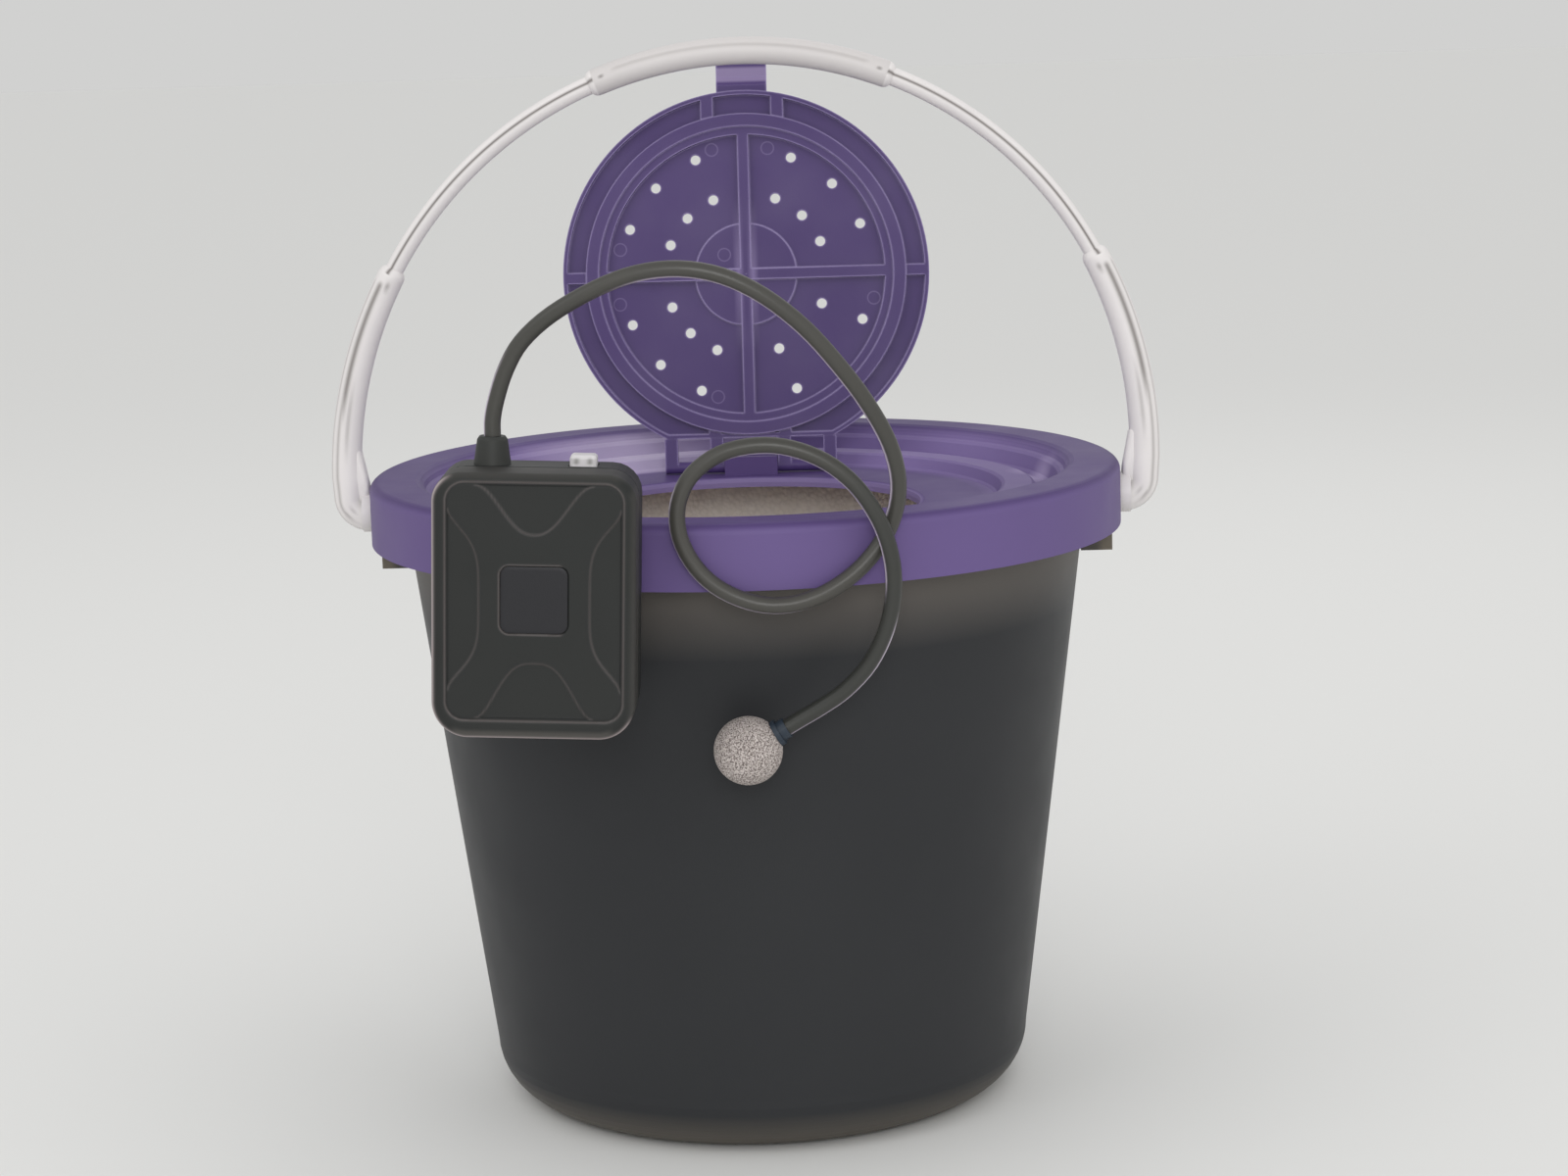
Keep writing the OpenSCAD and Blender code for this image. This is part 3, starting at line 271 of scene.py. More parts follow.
WEB_T, WEB_EDGE, WEB_EDGE_PARTS = 8.0, 1.8, 4
WEB_FOOT, WEB_HEEL, WEB_RISE = 3.6, 9.6, 11
WEB_GAP, WEB_LAP, WEB_COVER = 0.9, 0.5, 1

# Grey painted reflections, as lines and spots over shallow grooves, and an even painted
# shade on the grip. A line round the bar is (strength, angle from the outer edge, width),
# and a spot along it (angle, width). Spans are the angles over which a mark fades in or out.
STREAK_D = 0.25
BAR_LINE = (1, math.degrees(math.acos(0.3)), 9)
GRIP_PAINTED_SHADE, GRIP_FADE = 0.24, (1.5, 3)
GRIP_LINE, GRIP_SPOT_LINE, GRIP_SPOT = (0.42, 62, 15), (0.85, 74, 9), (0.7, 0.5)
UPPER_SPAN, UPPER_END, UPPER_END_SPAN = (6, 13), 0.2, (0.7, 1.8)
UPPER_LINES = ((0.85, 66, 12), (0.45, 28, 6))
LOWER_SPAN, LOW_END_SPAN = (-12, -2), (9, 16)
LOWER_LINES = ((0.5, 58, 7), (0.45, 24, 5))
INNER_SPAN, INNER_LINE = (1, 7), (0.42, 94, 8)
LEG_SPOT_LINE, LEG_SPOT = (0.6, 98, 10), (-1.1, 0.6)
FOOT_LINES, FOOT_SPOT = ((0.55, 62, 7), (0.385, 92, 6)), (-5.5, 1.6)
LINE_MARGIN = 0.5


def shoulder(past):
    """From 1 to 0 as a thick part rounds down to the thin bar."""
    t = min(max(past / SHOULDER, 0), 1)
    return math.sqrt(1 - t * t)


def bar_radius(a):
    """Radius of the bail at an angle along it."""
    leg = LEG_R - LEG_TAPER * min(a, LEG_ANGLE) / LEG_ANGLE
    return max(
        BAR_R + (leg - BAR_R) * shoulder(a - LEG_ANGLE),
        BAR_R + (GRIP_R - BAR_R) * shoulder(GRIP_START - a),
    )


def arch_point(a, side):
    turn = math.radians(a)
    r = ARCH_R + ARCH_PEAK * math.sin(turn) ** 2
    x = side * r * math.cos(turn) + ARCH_SET * math.sin(turn)
    return Vector((x, 0, ARCH_Z + r * math.sin(turn)))


def arch_angles():
    """Angles of the bail's rings, closer together at the shoulders."""
    angles = {90.0}
    a = 0.0
    while a < 90:
        angles.add(round(a, 3))
        near = min(abs(a - LEG_ANGLE), abs(a - GRIP_START))
        a += FINE_STEP if near < FINE_REACH else COARSE_STEP
    return sorted(angles)


def bail_side(side):
    """(centre, radius, angle along) of each ring from the pivot to the top. The rings
    of the bend below the leg count back from -2."""
    rings = []
    for a in range(-90, 0, BEND_STEP):
        turn = math.radians(a)
        x = side * (LEG_X - BEND_R + BEND_R * math.cos(turn))
        spot = Vector((x, 0, BEND_Z + BEND_R * math.sin(turn)))
        rings.append((spot, LEG_R, a / BEND_STEP - 1))
    return rings + [(arch_point(a, side), bar_radius(a), a) for a in arch_angles()]


def strongest(face, lines):
    return max(line_at(face, line) for line in lines)


def painted_reflection_at(turn, angle):
    """Strength of the grey painted reflections, and of the painted shade on the grip, at an
    angle round and an angle along the bail. turn is 0 at the outer edge and 90 at the front."""
    face = abs(turn)
    if LEG_ANGLE + LINE_MARGIN < angle < GRIP_START - LINE_MARGIN:
        return line_at(face, BAR_LINE)
    if angle >= GRIP_START - LINE_MARGIN:
        past = angle - GRIP_START
        return max(
            GRIP_PAINTED_SHADE, smooth(past, *GRIP_FADE) * line_at(face, GRIP_LINE),
            line_at(face, GRIP_SPOT_LINE) * bell(past - GRIP_SPOT[0], GRIP_SPOT[1]))
    left = LEG_ANGLE - angle
    low_end = 1 - smooth(angle, *LOW_END_SPAN)
    upper = smooth(angle, *UPPER_SPAN) * smooth(left + UPPER_END, *UPPER_END_SPAN)
    lower = smooth(angle, *LOWER_SPAN) * low_end
    inner = smooth(angle, *INNER_SPAN) * low_end
    return max(
        upper * strongest(face, UPPER_LINES), lower * strongest(face, LOWER_LINES),
        inner * line_at(face, INNER_LINE),
        line_at(face, LEG_SPOT_LINE) * bell(-left - LEG_SPOT[0], LEG_SPOT[1]),
        strongest(face, FOOT_LINES) * bell(angle - FOOT_SPOT[0], FOOT_SPOT[1]),
    )


def turned(profile, sides):
    """Points and faces of a round bar along X from (x, radius) pairs, about the pivots."""
    points = []
    for x, r in profile:
        for j in range(sides):
            turn = 2 * math.pi * j / sides
            points.append(Vector((x, -r * math.sin(turn), PIVOT_Z + r * math.cos(turn))))
    return points, ring_faces(len(profile), sides) + [first_cap(sides)]


def rounded_plate(outline, half, edge):
    """Points and faces of a plate in X and Z, even about Y, with round edges."""
    shape = bmesh.new()
    front = shape.faces.new([shape.verts.new((x, -half, z)) for x, z in outline])
    grown = bmesh.ops.extrude_face_region(shape, geom=[front])["geom"]
    bmesh.ops.translate(
        shape, vec=(0, 2 * half, 0),
        verts=[g for g in grown if isinstance(g, bmesh.types.BMVert)])
    bmesh.ops.bevel(
        shape, geom=shape.edges[:], offset=edge, segments=WEB_EDGE_PARTS, profile=0.5,
        affect="EDGES")
    bmesh.ops.recalc_face_normals(shape, faces=shape.faces[:])
    shape.verts.index_update()
    points = [v.co.copy() for v in shape.verts]
    faces = []
    for face in shape.faces:  # the bevel's order of faces and corners varies between runs
        corners = [v.index for v in face.verts]
        first = corners.index(min(corners))
        faces.append(tuple(corners[first:] + corners[:first]))
    shape.free()
    return points, sorted(faces)


def bail_end():
    """Boss with its pivot stub, and the web above, of the right-hand end."""
    bar = turned([
        (STUB_IN, STUB_R - STUB_EDGE), (STUB_IN + STUB_EDGE, STUB_R), (BOSS_IN, STUB_R),
        (BOSS_IN, BOSS_R - BOSS_EDGE), (BOSS_IN + BOSS_EDGE_MID, BOSS_R - BOSS_EDGE_MID),
        (BOSS_IN + BOSS_EDGE, BOSS_R), (BOSS_END, BOSS_R),
    ], END_SIDES)
    inner, outer, top = LID_R + WEB_GAP, LEG_X - WEB_COVER, ARCH_Z + WEB_RISE
    web = rounded_plate([
        (inner, PIVOT_Z + WEB_FOOT), (inner, PIVOT_Z + WEB_HEEL),
        (LEG_X - LEG_R + WEB_LAP, top), (outer, top), (outer, PIVOT_Z + WEB_FOOT),
    ], WEB_T / 2, WEB_EDGE)
    return bar, web


def add_bail():
    """One-piece bail: bends, legs, bar and grip in one skin, and the two ends."""
    front = Vector((0, -1, 0))
    right, left = bail_side(1), bail_side(-1)
    rings = right + left[-2::-1]
    points, marks = [], []
    for i, (centre, radius, angle) in enumerate(rings):
        ahead = (rings[min(i + 1, len(rings) - 1)][0] - rings[max(i - 1, 0)][0]).normalized()
        out = Vector((0, 0, -1)) if i == 0 else ahead.cross(front)
        for j in range(BAIL_SIDES):
            turn = 360 * j / BAIL_SIDES
            turn = turn - 360 if turn > 180 else turn
            mark = painted_reflection_at(turn, angle)
            r = radius - STREAK_D * mark
            way = math.cos(math.radians(turn)) * out + math.sin(math.radians(turn)) * front
            points.append((centre + r * way) * MM)
            marks.append(mark)
    faces = capped_faces(len(rings), BAIL_SIDES)
    for side in (1, -1):
        for more_points, more_faces in bail_end():
            first = len(points)
            points += [Vector((side * p.x, p.y, p.z)) * MM for p in more_points]
            faces += [tuple(first + k for k in f)[::side] for f in more_faces]
            marks += [0.0] * len(more_points)
    bar = link_mesh("bail", points, faces)
    # Grey painted reflections and painted shade, over shallow grooves
    paint(bar, "painted_reflection", marks)
    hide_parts("bail_handle")
    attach(bar, "bail")
    return bar


bail = add_bail()


# -------------------------------------------------------------------- pump
# All in millimetres, in the pump's own frame: X to the right and Z up from the middle of
# the case, Y back from it.
PUMP_PLACE = Vector((-68.9, -164.6712, 228.8))
PUMP_TILT = math.radians(2.6)
CASE_HALF = (35.8, 47.0)
CASE_EDGE, CASE_T = 4.4, 2.2
CORNER_TOP, CORNER_BOTTOM = 10.4, 13.0
CORNER_STEPS, SIDE_STEP = 24, 0.75
FRONT_Y, ROOM_FRONT_Y, SPLIT_Y, SPLIT_EDGE = -19.75, -17.35, -1.25, 0.25
CASE_RINGS, EDGE_STEPS = 116, 24
PANEL_HALF, PANEL_CORNER, PANEL_PLACE = (31.4, 42.4), 7.0, (0.4, 2.0)
SCALLOP_INSET, SCALLOP_D, SCALLOP_SOFT = 1.2, 0.7, 0.4
# A scallop is (half its width, its height, power of its curve)
TOP_SCALLOP, BOTTOM_SCALLOP = (20.7, 17.4, 1.15), (20.7, 19.6, 1.45)
SIDE_SCALLOP, SIDE_SCALLOP_Z = (32.4, 10.8, 2.3), 2.6
MIN_SHARE = 0.001
BADGE_HALF, BADGE_CORNER, BADGE_Z, BADGE_D = 11.9, 3.4, 2.9, 0.7
BADGE_WALL, BADGE_LINE_END = 0.3, (3.5, 1)
# Lines of the face as (strength or depth, distance outside the edge, width): the groove,
# and the pale painted light lines and dark painted shade lines along the relief
PANEL_GROOVE, PANEL_LIGHT_LINE, PANEL_SHADE_LINE = (0.5, -0.45, 0.42), (0.45, -0.25, 0.34), (0.6, -1.3, 0.65)
SCALLOP_LIGHT_LINE, SCALLOP_SHADE_LINE = (0.27, 0, 0.38), (0.5, -1.1, 0.6)
BADGE_LIGHT_LINE = (0.4, 0.35, 0.34)
# Painted light on parts of the case's round edge, a pale line along the left and lower
# outline and pale strips round the edge: degrees from straight ahead, then how far the
# outline faces left, down, up or right
CONTOUR_TURN, CONTOUR_W = 66, 15
CONTOUR_LEFT, CONTOUR_DOWN = (0.2, 0.8), (0.25, 0.7)
RIM_TURN, RIM_DOWN_TURN, RIM_DOWN = (15, 60), (2, 32), (0.8, 1)
RIM_UP_STRENGTH, RIM_UP = 0.4, (0.75, 1)
RIM_RIGHT_STRENGTH, RIM_RIGHT = 0.5, (0.8, 1)

to_row = (
    Matrix.Translation(PUMP_PLACE * MM) @ Matrix.Rotation(PUMP_TILT, 4, "Y") @ Matrix.Scale(MM, 4)
)


def rounded_distance(x, z, half_x, half_z, corner):
    """Distance outside a rectangle with round corners, less than 0 inside it."""
    dx, dz = abs(x) - half_x + corner, abs(z) - half_z + corner
    return math.hypot(max(dx, 0), max(dz, 0)) + min(max(dx, dz), 0) - corner


def scallop_distance(along, above, shape):
    """Distance inside a scallop's rim, or None past its ends."""
    half_w, height, power = shape
    share = abs(along) / half_w
    if share >= 1:
        return None
    rim = height * (0.5 + 0.5 * math.cos(math.pi * share ** power))
    slope = 0.5 * height * math.pi * power * max(share, MIN_SHARE) ** (power - 1) / half_w
    slope *= math.sin(math.pi * share ** power)
    return (rim - above) / math.hypot(1, slope)


def face_relief(x, z):
    """(depth, pale painted light line, dark painted shade line) of the pump's face at a spot."""
    px, pz = x - PANEL_PLACE[0], z - PANEL_PLACE[1]
    out = rounded_distance(px, pz, *PANEL_HALF, PANEL_CORNER)
    depth = line_at(out, PANEL_GROOVE)
    pale = line_at(out, PANEL_LIGHT_LINE)
    dark = line_at(out, PANEL_SHADE_LINE)
    inset = smooth(-out, SCALLOP_INSET - SCALLOP_SOFT, SCALLOP_INSET + SCALLOP_SOFT)
    side_above = PANEL_HALF[0] - SCALLOP_INSET - abs(px)
    end_above = PANEL_HALF[1] - SCALLOP_INSET - abs(pz)
    reach = [
        scallop_distance(px, end_above, TOP_SCALLOP if pz > 0 else BOTTOM_SCALLOP),
        scallop_distance(z - SIDE_SCALLOP_Z, side_above, SIDE_SCALLOP),
    ]
    for inside in reach:
        if inside is not None:
            floor = smooth(inside, -SCALLOP_SOFT, SCALLOP_SOFT)
            depth = max(depth, SCALLOP_D * inset * floor)
            pale = max(pale, inset * line_at(inside, SCALLOP_LIGHT_LINE))
            dark = max(dark, inset * line_at(inside, SCALLOP_SHADE_LINE))
    badge = rounded_distance(px, z - BADGE_Z, BADGE_HALF, BADGE_HALF, BADGE_CORNER)
    depth += BADGE_D * (1 - smooth(badge, 0, BADGE_WALL))
    start, end = BADGE_LINE_END
    shown = 1 - smooth(px, BADGE_HALF - start, BADGE_HALF - end)
    return depth, max(pale, shown * line_at(badge, BADGE_LIGHT_LINE)), dark


def case_spine():
    """(centre, way out, radius) round the case: its outline is centre + way * radius."""
    corners = [
        (1, 1, CORNER_TOP, 0), (-1, 1, CORNER_TOP, 90),
        (-1, -1, CORNER_BOTTOM, 180), (1, -1, CORNER_BOTTOM, 270),
    ]
    spine = []
    for k, (sx, sz, corner, start) in enumerate(corners):
        middle = Vector((sx * (CASE_HALF[0] - corner), sz * (CASE_HALF[1] - corner)))
        for i in range(CORNER_STEPS + 1):
            turn = math.radians(start + 90 * i / CORNER_STEPS)
            spine.append((middle, Vector((math.cos(turn), math.sin(turn))), corner))
        sx, sz, corner, start = corners[(k + 1) % 4]
        after = Vector((sx * (CASE_HALF[0] - corner), sz * (CASE_HALF[1] - corner)))
        way, radius = spine[-1][1], spine[-1][2]
        steps = round((after - middle).length / SIDE_STEP)
        for i in range(1, steps):
            t = i / steps
            spine.append((middle.lerp(after, t), way, radius + (corner - radius) * t))
    return spine


def add_case_front():
    """Front half of the pump's case: a shell with the relief in its face."""
    spine = case_spine()
    sides = len(spine)
    points, pale, dark, painted_contour_light, rim = [], [], [], [], []

    def ring(y, inset, turn=None, share=1.0):
        """One ring. turn is its way out, in degrees from straight ahead, on the
        face and its round edge, and None behind them. share shrinks the ring."""
        for middle, way, radius in spine:
            spot = (middle + way * (radius - inset)) * share
            depth, bright, deep = (0.0, 0.0, 0.0) if turn is None else face_relief(*spot)
            up, right, down = max(way.y, 0), max(way.x, 0), max(-way.y, 0)
            turned_out = 90.0 if turn is None else turn
            points.append(to_row @ Vector((spot.x, y + depth, spot.y)))
            pale.append(bright)
            dark.append(deep)
            painted_contour_light.append(bell(turned_out - CONTOUR_TURN, CONTOUR_W) * max(
                smooth(-way.x, *CONTOUR_LEFT), smooth(down, *CONTOUR_DOWN)))
            rim.append(max(
                smooth(turned_out, *RIM_TURN) * max(
                    RIM_UP_STRENGTH * smooth(up, *RIM_UP),
                    RIM_RIGHT_STRENGTH * smooth(right, *RIM_RIGHT)),
                smooth(turned_out, *RIM_DOWN_TURN) * smooth(down, *RIM_DOWN)))

    ring(ROOM_FRONT_Y, CASE_T)
    ring(SPLIT_Y, CASE_T)
    ring(SPLIT_Y, SPLIT_EDGE)
    ring(SPLIT_Y - SPLIT_EDGE, 0)
    for i in range(EDGE_STEPS, 0, -1):
        turn = 90 * i / EDGE_STEPS
        a = math.radians(turn)
        ring(FRONT_Y + CASE_EDGE * (1 - math.cos(a)), CASE_EDGE * (1 - math.sin(a)), turn)
    for i in range(CASE_RINGS):
        ring(FRONT_Y, CASE_EDGE, 0.0, 1 - i / CASE_RINGS)
    front = link_mesh("case_front", points, capped_faces(len(points) // sides, sides))
    # Painted light and shade: lines along the relief, along the outline and strips round the edge
    for name, values in (("pale", pale), ("dark", dark), ("painted_contour_light", painted_contour_light), ("rim", rim)):
        paint(front, name, values)
    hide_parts("pump_front_case")
    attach(front, "pump")
    return front


OUTLINE_CORNER_PARTS, OUTLINE_SIDE_PARTS = 8, 14


def round_outline(half_x, half_z, corner, middle=(0, 0)):
    """Points round a rectangle with round corners, its straight sides divided too."""
    outline = []
    for k, (sx, sz) in enumerate(((1, 1), (-1, 1), (-1, -1), (1, -1))):
        for i in range(OUTLINE_CORNER_PARTS + 1):
            turn = math.radians(90 * (k + i / OUTLINE_CORNER_PARTS))
            outline.append((
                middle[0] + sx * (half_x - corner) + corner * math.cos(turn),
                middle[1] + sz * (half_z - corner) + corner * math.sin(turn),
            ))
        run = (2 * (half_x - corner), 2 * (half_z - corner))[k % 2]
        way = ((-1, 0), (0, -1), (1, 0), (0, 1))[k]
        x, z = outline[-1]
        for i in range(1, OUTLINE_SIDE_PARTS):
            step = run * i / OUTLINE_SIDE_PARTS
            outline.append((x + way[0] * step, z + way[1] * step))
    return outline


BADGE_T, BADGE_GAP = 0.5, 0.15
BADGE_EDGE, BADGE_EDGE_MID, BADGE_BORDER = 0.2, 0.06, 1.5


def add_badge():
    """Bare badge plate with a soft edge, in the recess of the pump's face."""
    half = BADGE_HALF - BADGE_GAP
    middle = (PANEL_PLACE[0], BADGE_Z)
    front_y = FRONT_Y + BADGE_D - BADGE_T
    rings = [
        (BADGE_T, 0.0), (BADGE_EDGE, 0.0), (BADGE_EDGE_MID, BADGE_EDGE_MID),
        (0.0, BADGE_EDGE), (0.0, BADGE_BORDER)]
    points = []
    for back, inset in rings:
        corner = BADGE_CORNER - BADGE_GAP - inset
        for x, z in round_outline(half - inset, half - inset, corner, middle):
            points.append(to_row @ Vector((x, front_y + back, z)))
    badge = link_mesh("badge", points, capped_faces(len(rings), len(points) // len(rings)))
    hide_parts("blank_badge")
    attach(badge, "pump")
    return badge


BUTTON_PLACE = (15.6, 6.75)
BUTTON_HALF, BUTTON_CORNER = (4.8, 4.4), 1.7
BUTTON_TOP, BUTTON_EDGE, BUTTON_EDGE_STEPS = 50.9, 1.5, 8
STEM_FOOT, STEM_INSET = 41.0, 3.2
FLANGE_FOOT, FLANGE_TOP, FLANGE_INSET = 43.8, 44.65, -1.0
TOP_RINGS, TOP_RING_STEP, LEAST_CORNER = 6, 0.4, 0.1
# The two shallow dents with spots of painted shade: to each side, below the top, their
# reach and depth, and the places below the top where rings are added for them
LOBE_X, LOBE_BELOW, LOBE_R, LOBE_D = 2.4, 2.2, 1.0, 0.25
LOBE_RINGS = (3.4, 2.6)


def add_button():
    """Pale push button with two shallow dents near its front edge, painted darker as shade,
    on the flange that keeps it in the case and the stem to the switch."""
    rings = [
        (STEM_FOOT, STEM_INSET), (FLANGE_FOOT, STEM_INSET), (FLANGE_FOOT, FLANGE_INSET),
        (FLANGE_TOP, FLANGE_INSET), (FLANGE_TOP, 0.0)]
    rings += [(BUTTON_TOP - below, 0.0) for below in (*LOBE_RINGS, BUTTON_EDGE)]
    for i in range(1, BUTTON_EDGE_STEPS + 1):
        a = math.radians(90 * i / BUTTON_EDGE_STEPS)
        rings.append((
            BUTTON_TOP - BUTTON_EDGE * (1 - math.sin(a)), BUTTON_EDGE * (1 - math.cos(a))))
    rings += [(BUTTON_TOP, BUTTON_EDGE + TOP_RING_STEP * i) for i in range(1, TOP_RINGS + 1)]
    lobes = [
        Vector((side * LOBE_X, -BUTTON_HALF[1], BUTTON_TOP - LOBE_BELOW)) for side in (1, -1)]
    points, marks = [], []
    for z, inset in rings:
        corner = max(BUTTON_CORNER - inset, LEAST_CORNER)
        for x, y in round_outline(BUTTON_HALF[0] - inset, BUTTON_HALF[1] - inset, corner):
            mark = max(bell((Vector((x, y, z)) - painted_shade_spot).length, LOBE_R) for painted_shade_spot in lobes)
            marks.append(mark)
            place = (BUTTON_PLACE[0] + x, BUTTON_PLACE[1] + y + LOBE_D * mark, z)
            points.append(to_row @ Vector(place))
    button = link_mesh("button", points, capped_faces(len(rings), len(points) // len(rings)))
    paint(button, "painted_shade_spot", marks)
    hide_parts("power_button")
    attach(button, "button")
    return button


case_front = add_case_front()
badge = add_badge()
button = add_button()


# --------------------------------------------------------------- materials
def linear(*values):
    """Scene-linear colour of an 8-bit screen colour."""
    return tuple(
        v / 255 / 12.92 if v <= 10.3 else ((v / 255 + 0.055) / 1.055) ** 2.4
        for v in values
    )


class Finish:
    """Procedural material under construction."""

    def __init__(self, name):
        self.material = bpy.data.materials.new(name)
        self.material.use_nodes = True
        self.tree = self.material.node_tree
        self.shader = self.tree.nodes["Principled BSDF"]
        self.place = self.add("ShaderNodeTexCoord").outputs["Object"]
        self.normal = None

    def add(self, kind, **settings):
        """New node. Each setting is a property of it or the value of an input."""
        made = self.tree.nodes.new(kind)
        for name, value in settings.items():
            if hasattr(made, name):
                setattr(made, name, value)
            else:
                made.inputs[name].default_value = value
        return made

    def join(self, output, target):
        self.tree.links.new(output, target)

    def noise(self, scale, detail=2.0, stretch=None):
        """Cloudy pattern between 0 and 1, scale in parts per metre."""
        made = self.add("ShaderNodeTexNoise", Scale=scale, Detail=detail)
        place = self.place
        if stretch:
            scaled = self.add("ShaderNodeVectorMath", operation="MULTIPLY")
            self.join(place, scaled.inputs[0])
            scaled.inputs[1].default_value = stretch
            place = scaled.outputs["Vector"]
        self.join(place, made.inputs["Vector"])
        return made.outputs["Fac"]

    def cells(self, scale):
        """Distance from the middle of round cells, scale in cells per metre."""
        made = self.add("ShaderNodeTexVoronoi", Scale=scale)
        self.join(self.place, made.inputs["Vector"])
        return made.outputs["Distance"]

    def ramp(self, driver, stops):
        """Colours along a driving value."""
        made = self.add("ShaderNodeValToRGB")
        entries = made.color_ramp.elements
        while len(entries) < len(stops):
            entries.new(0.5)
        for entry, (spot, colour) in zip(entries, stops):
            entry.position = spot
            entry.color = (*colour, 1)
        self.join(driver, made.inputs["Fac"])
        return made.outputs["Color"]

    def span(self, driver, low, high, start=0.0, end=1.0):
        """From low to high as the driver goes from start to end, and no further."""
        made = self.add("ShaderNodeMapRange", **{
            "From Min": start, "From Max": end, "To Min": low, "To Max": high})
        self.join(driver, made.inputs["Value"])
        return made.outputs["Result"]

    def painted(self, name):
        """What paint() stored on the mesh."""
        return self.add("ShaderNodeAttribute", attribute_name=name).outputs["Fac"]

    def edges(self, radius, gain):
        """Near gain on the sharp edges and corners of the shape, 0 elsewhere."""
        rounded = self.add("ShaderNodeBevel", samples=BEVEL_SAMPLES, Radius=radius)
        flat = self.add("ShaderNodeNewGeometry")
        turn = self.add("ShaderNodeVectorMath", operation="DOT_PRODUCT")
        self.join(rounded.outputs["Normal"], turn.inputs[0])
        self.join(flat.outputs["Normal"], turn.inputs[1])
        return self.span(turn.outputs["Value"], gain, 0.0, *EDGE_TURN)

    def height(self, axis="Z"):
        """Place along an axis, in metres."""
        parts = self.add("ShaderNodeSeparateXYZ")
        self.join(self.place, parts.inputs[0])
        return parts.outputs[axis]

    def math(self, operation, first, second):
        made = self.add("ShaderNodeMath", operation=operation)
        for k, value in enumerate((first, second)):
            if isinstance(value, (int, float)):
                made.inputs[k].default_value = value
            else:
                self.join(value, made.inputs[k])
        return made.outputs[0]

    def both(self, first, second):
        return self.math("MULTIPLY", first, second)

    def band(self, driver, middle, half):
        """1 where the driver is at the middle, falling to 0 at half to each side."""
        off = self.math("ABSOLUTE", self.math("SUBTRACT", driver, middle), 0.0)
        return self.span(off, 1.0, 0.0, 0.0, half)

    def measure(self, operation, value):
        """Number that a vector operation gives from the place and a value."""
        made = self.add("ShaderNodeVectorMath", operation=operation)
        self.join(self.place, made.inputs[0])
        made.inputs[1].default_value = value
        return made.outputs["Value"]

    def along(self, way):
        """Place along a direction, in metres."""
        return self.measure("DOT_PRODUCT", way)

    def distance(self, spot):
        """Distance from a spot, in metres."""
        return self.measure("DISTANCE", spot)

    def off_axis(self):
        """Distance from the bucket's axis, in metres."""
        flat = self.add("ShaderNodeVectorMath", operation="MULTIPLY")
        self.join(self.place, flat.inputs[0])
        flat.inputs[1].default_value = (1, 1, 0)
        made = self.add("ShaderNodeVectorMath", operation="LENGTH")
        self.join(flat.outputs["Vector"], made.inputs[0])
        return made.outputs["Value"]

    def mix(self, share, first, second):
        """Colour first where share is 0 and second where it is 1. Either may be
        a plain colour."""
        made = self.add("ShaderNodeMix", data_type="RGBA")
        self.join(share, made.inputs["Factor"])
        for socket, value in (("A", first), ("B", second)):
            target = [i for i in made.inputs if i.name == socket and i.type == "RGBA"][0]
            if isinstance(value, tuple):
                target.default_value = (*value, 1)
            else:
                self.join(value, target)
        return [o for o in made.outputs if o.type == "RGBA"][0]

    def colour(self, output):
        self.join(output, self.shader.inputs["Base Color"])

    def rough(self, driver, low, high):
        """Roughness from low to high over a pattern's middle."""
        self.join(self.span(driver, low, high, *PATTERN_MIDDLE), self.shader.inputs["Roughness"])

    def bump(self, height, distance, strength=1.0):
        """Adds relief on top of what the material has."""
        made = self.add("ShaderNodeBump", Distance=distance, Strength=strength)
        self.join(height, made.inputs["Height"])
        if self.normal:
            self.join(self.normal, made.inputs["Normal"])
        self.normal = made.outputs["Normal"]
        self.join(self.normal, self.shader.inputs["Normal"])

    def set(self, **values):
        for name, value in values.items():
            self.shader.inputs[name.replace("_", " ")].default_value = value


BEVEL_SAMPLES = 6
EDGE_TURN = (0.8, 0.985)
PATTERN_MIDDLE = (0.3, 0.7)
# Patterns of moulded plastic as (parts per metre, detail)
CLOUDS, GLOSS, GRAIN = (9.0, 4.0), (40.0, 3.0), (2500.0, 2.0)
GRAIN_D = 0.00003
EDGE_NEAR, EDGE_FAR, EDGE_REACH = 1.3, 0.75, (0.008, 0.045)


def shades_of(dark, pale):
    """Stops of a ramp between two shades over a pattern's middle."""
    return list(zip(PATTERN_MIDDLE, (dark, pale)))


def plastic(name, shades, rough, gloss=0.3, edge=None, painted=(), marks=None):
    """Moulded plastic: cloudy shade, fine grain, uneven gloss. edge is (colour, radius,
    gain, spot) for painted light along the sharp edges, strongest near the spot, painted
    holds (name, colour) of painted marks, marks gives (mask, colour) pairs."""
    made = Finish(name)
    shade = made.ramp(made.noise(*CLOUDS), shades_of(*shades))
    if marks:
        for mask, colour in marks(made):
            shade = made.mix(mask, shade, colour)
    if edge:
        colour, radius, gain, spot = edge
        strength = made.edges(radius, gain)
        near = made.span(made.distance(spot), EDGE_NEAR, EDGE_FAR, *EDGE_REACH)
        shade = made.mix(made.both(strength, near), shade, colour)
    for mark, colour in painted:
        shade = made.mix(made.painted(mark), shade, colour)
    made.colour(shade)
    made.rough(made.noise(*GLOSS), *rough)
    made.bump(made.noise(*GRAIN), GRAIN_D)
    made.set(Specular_IOR_Level=gloss)
    return made


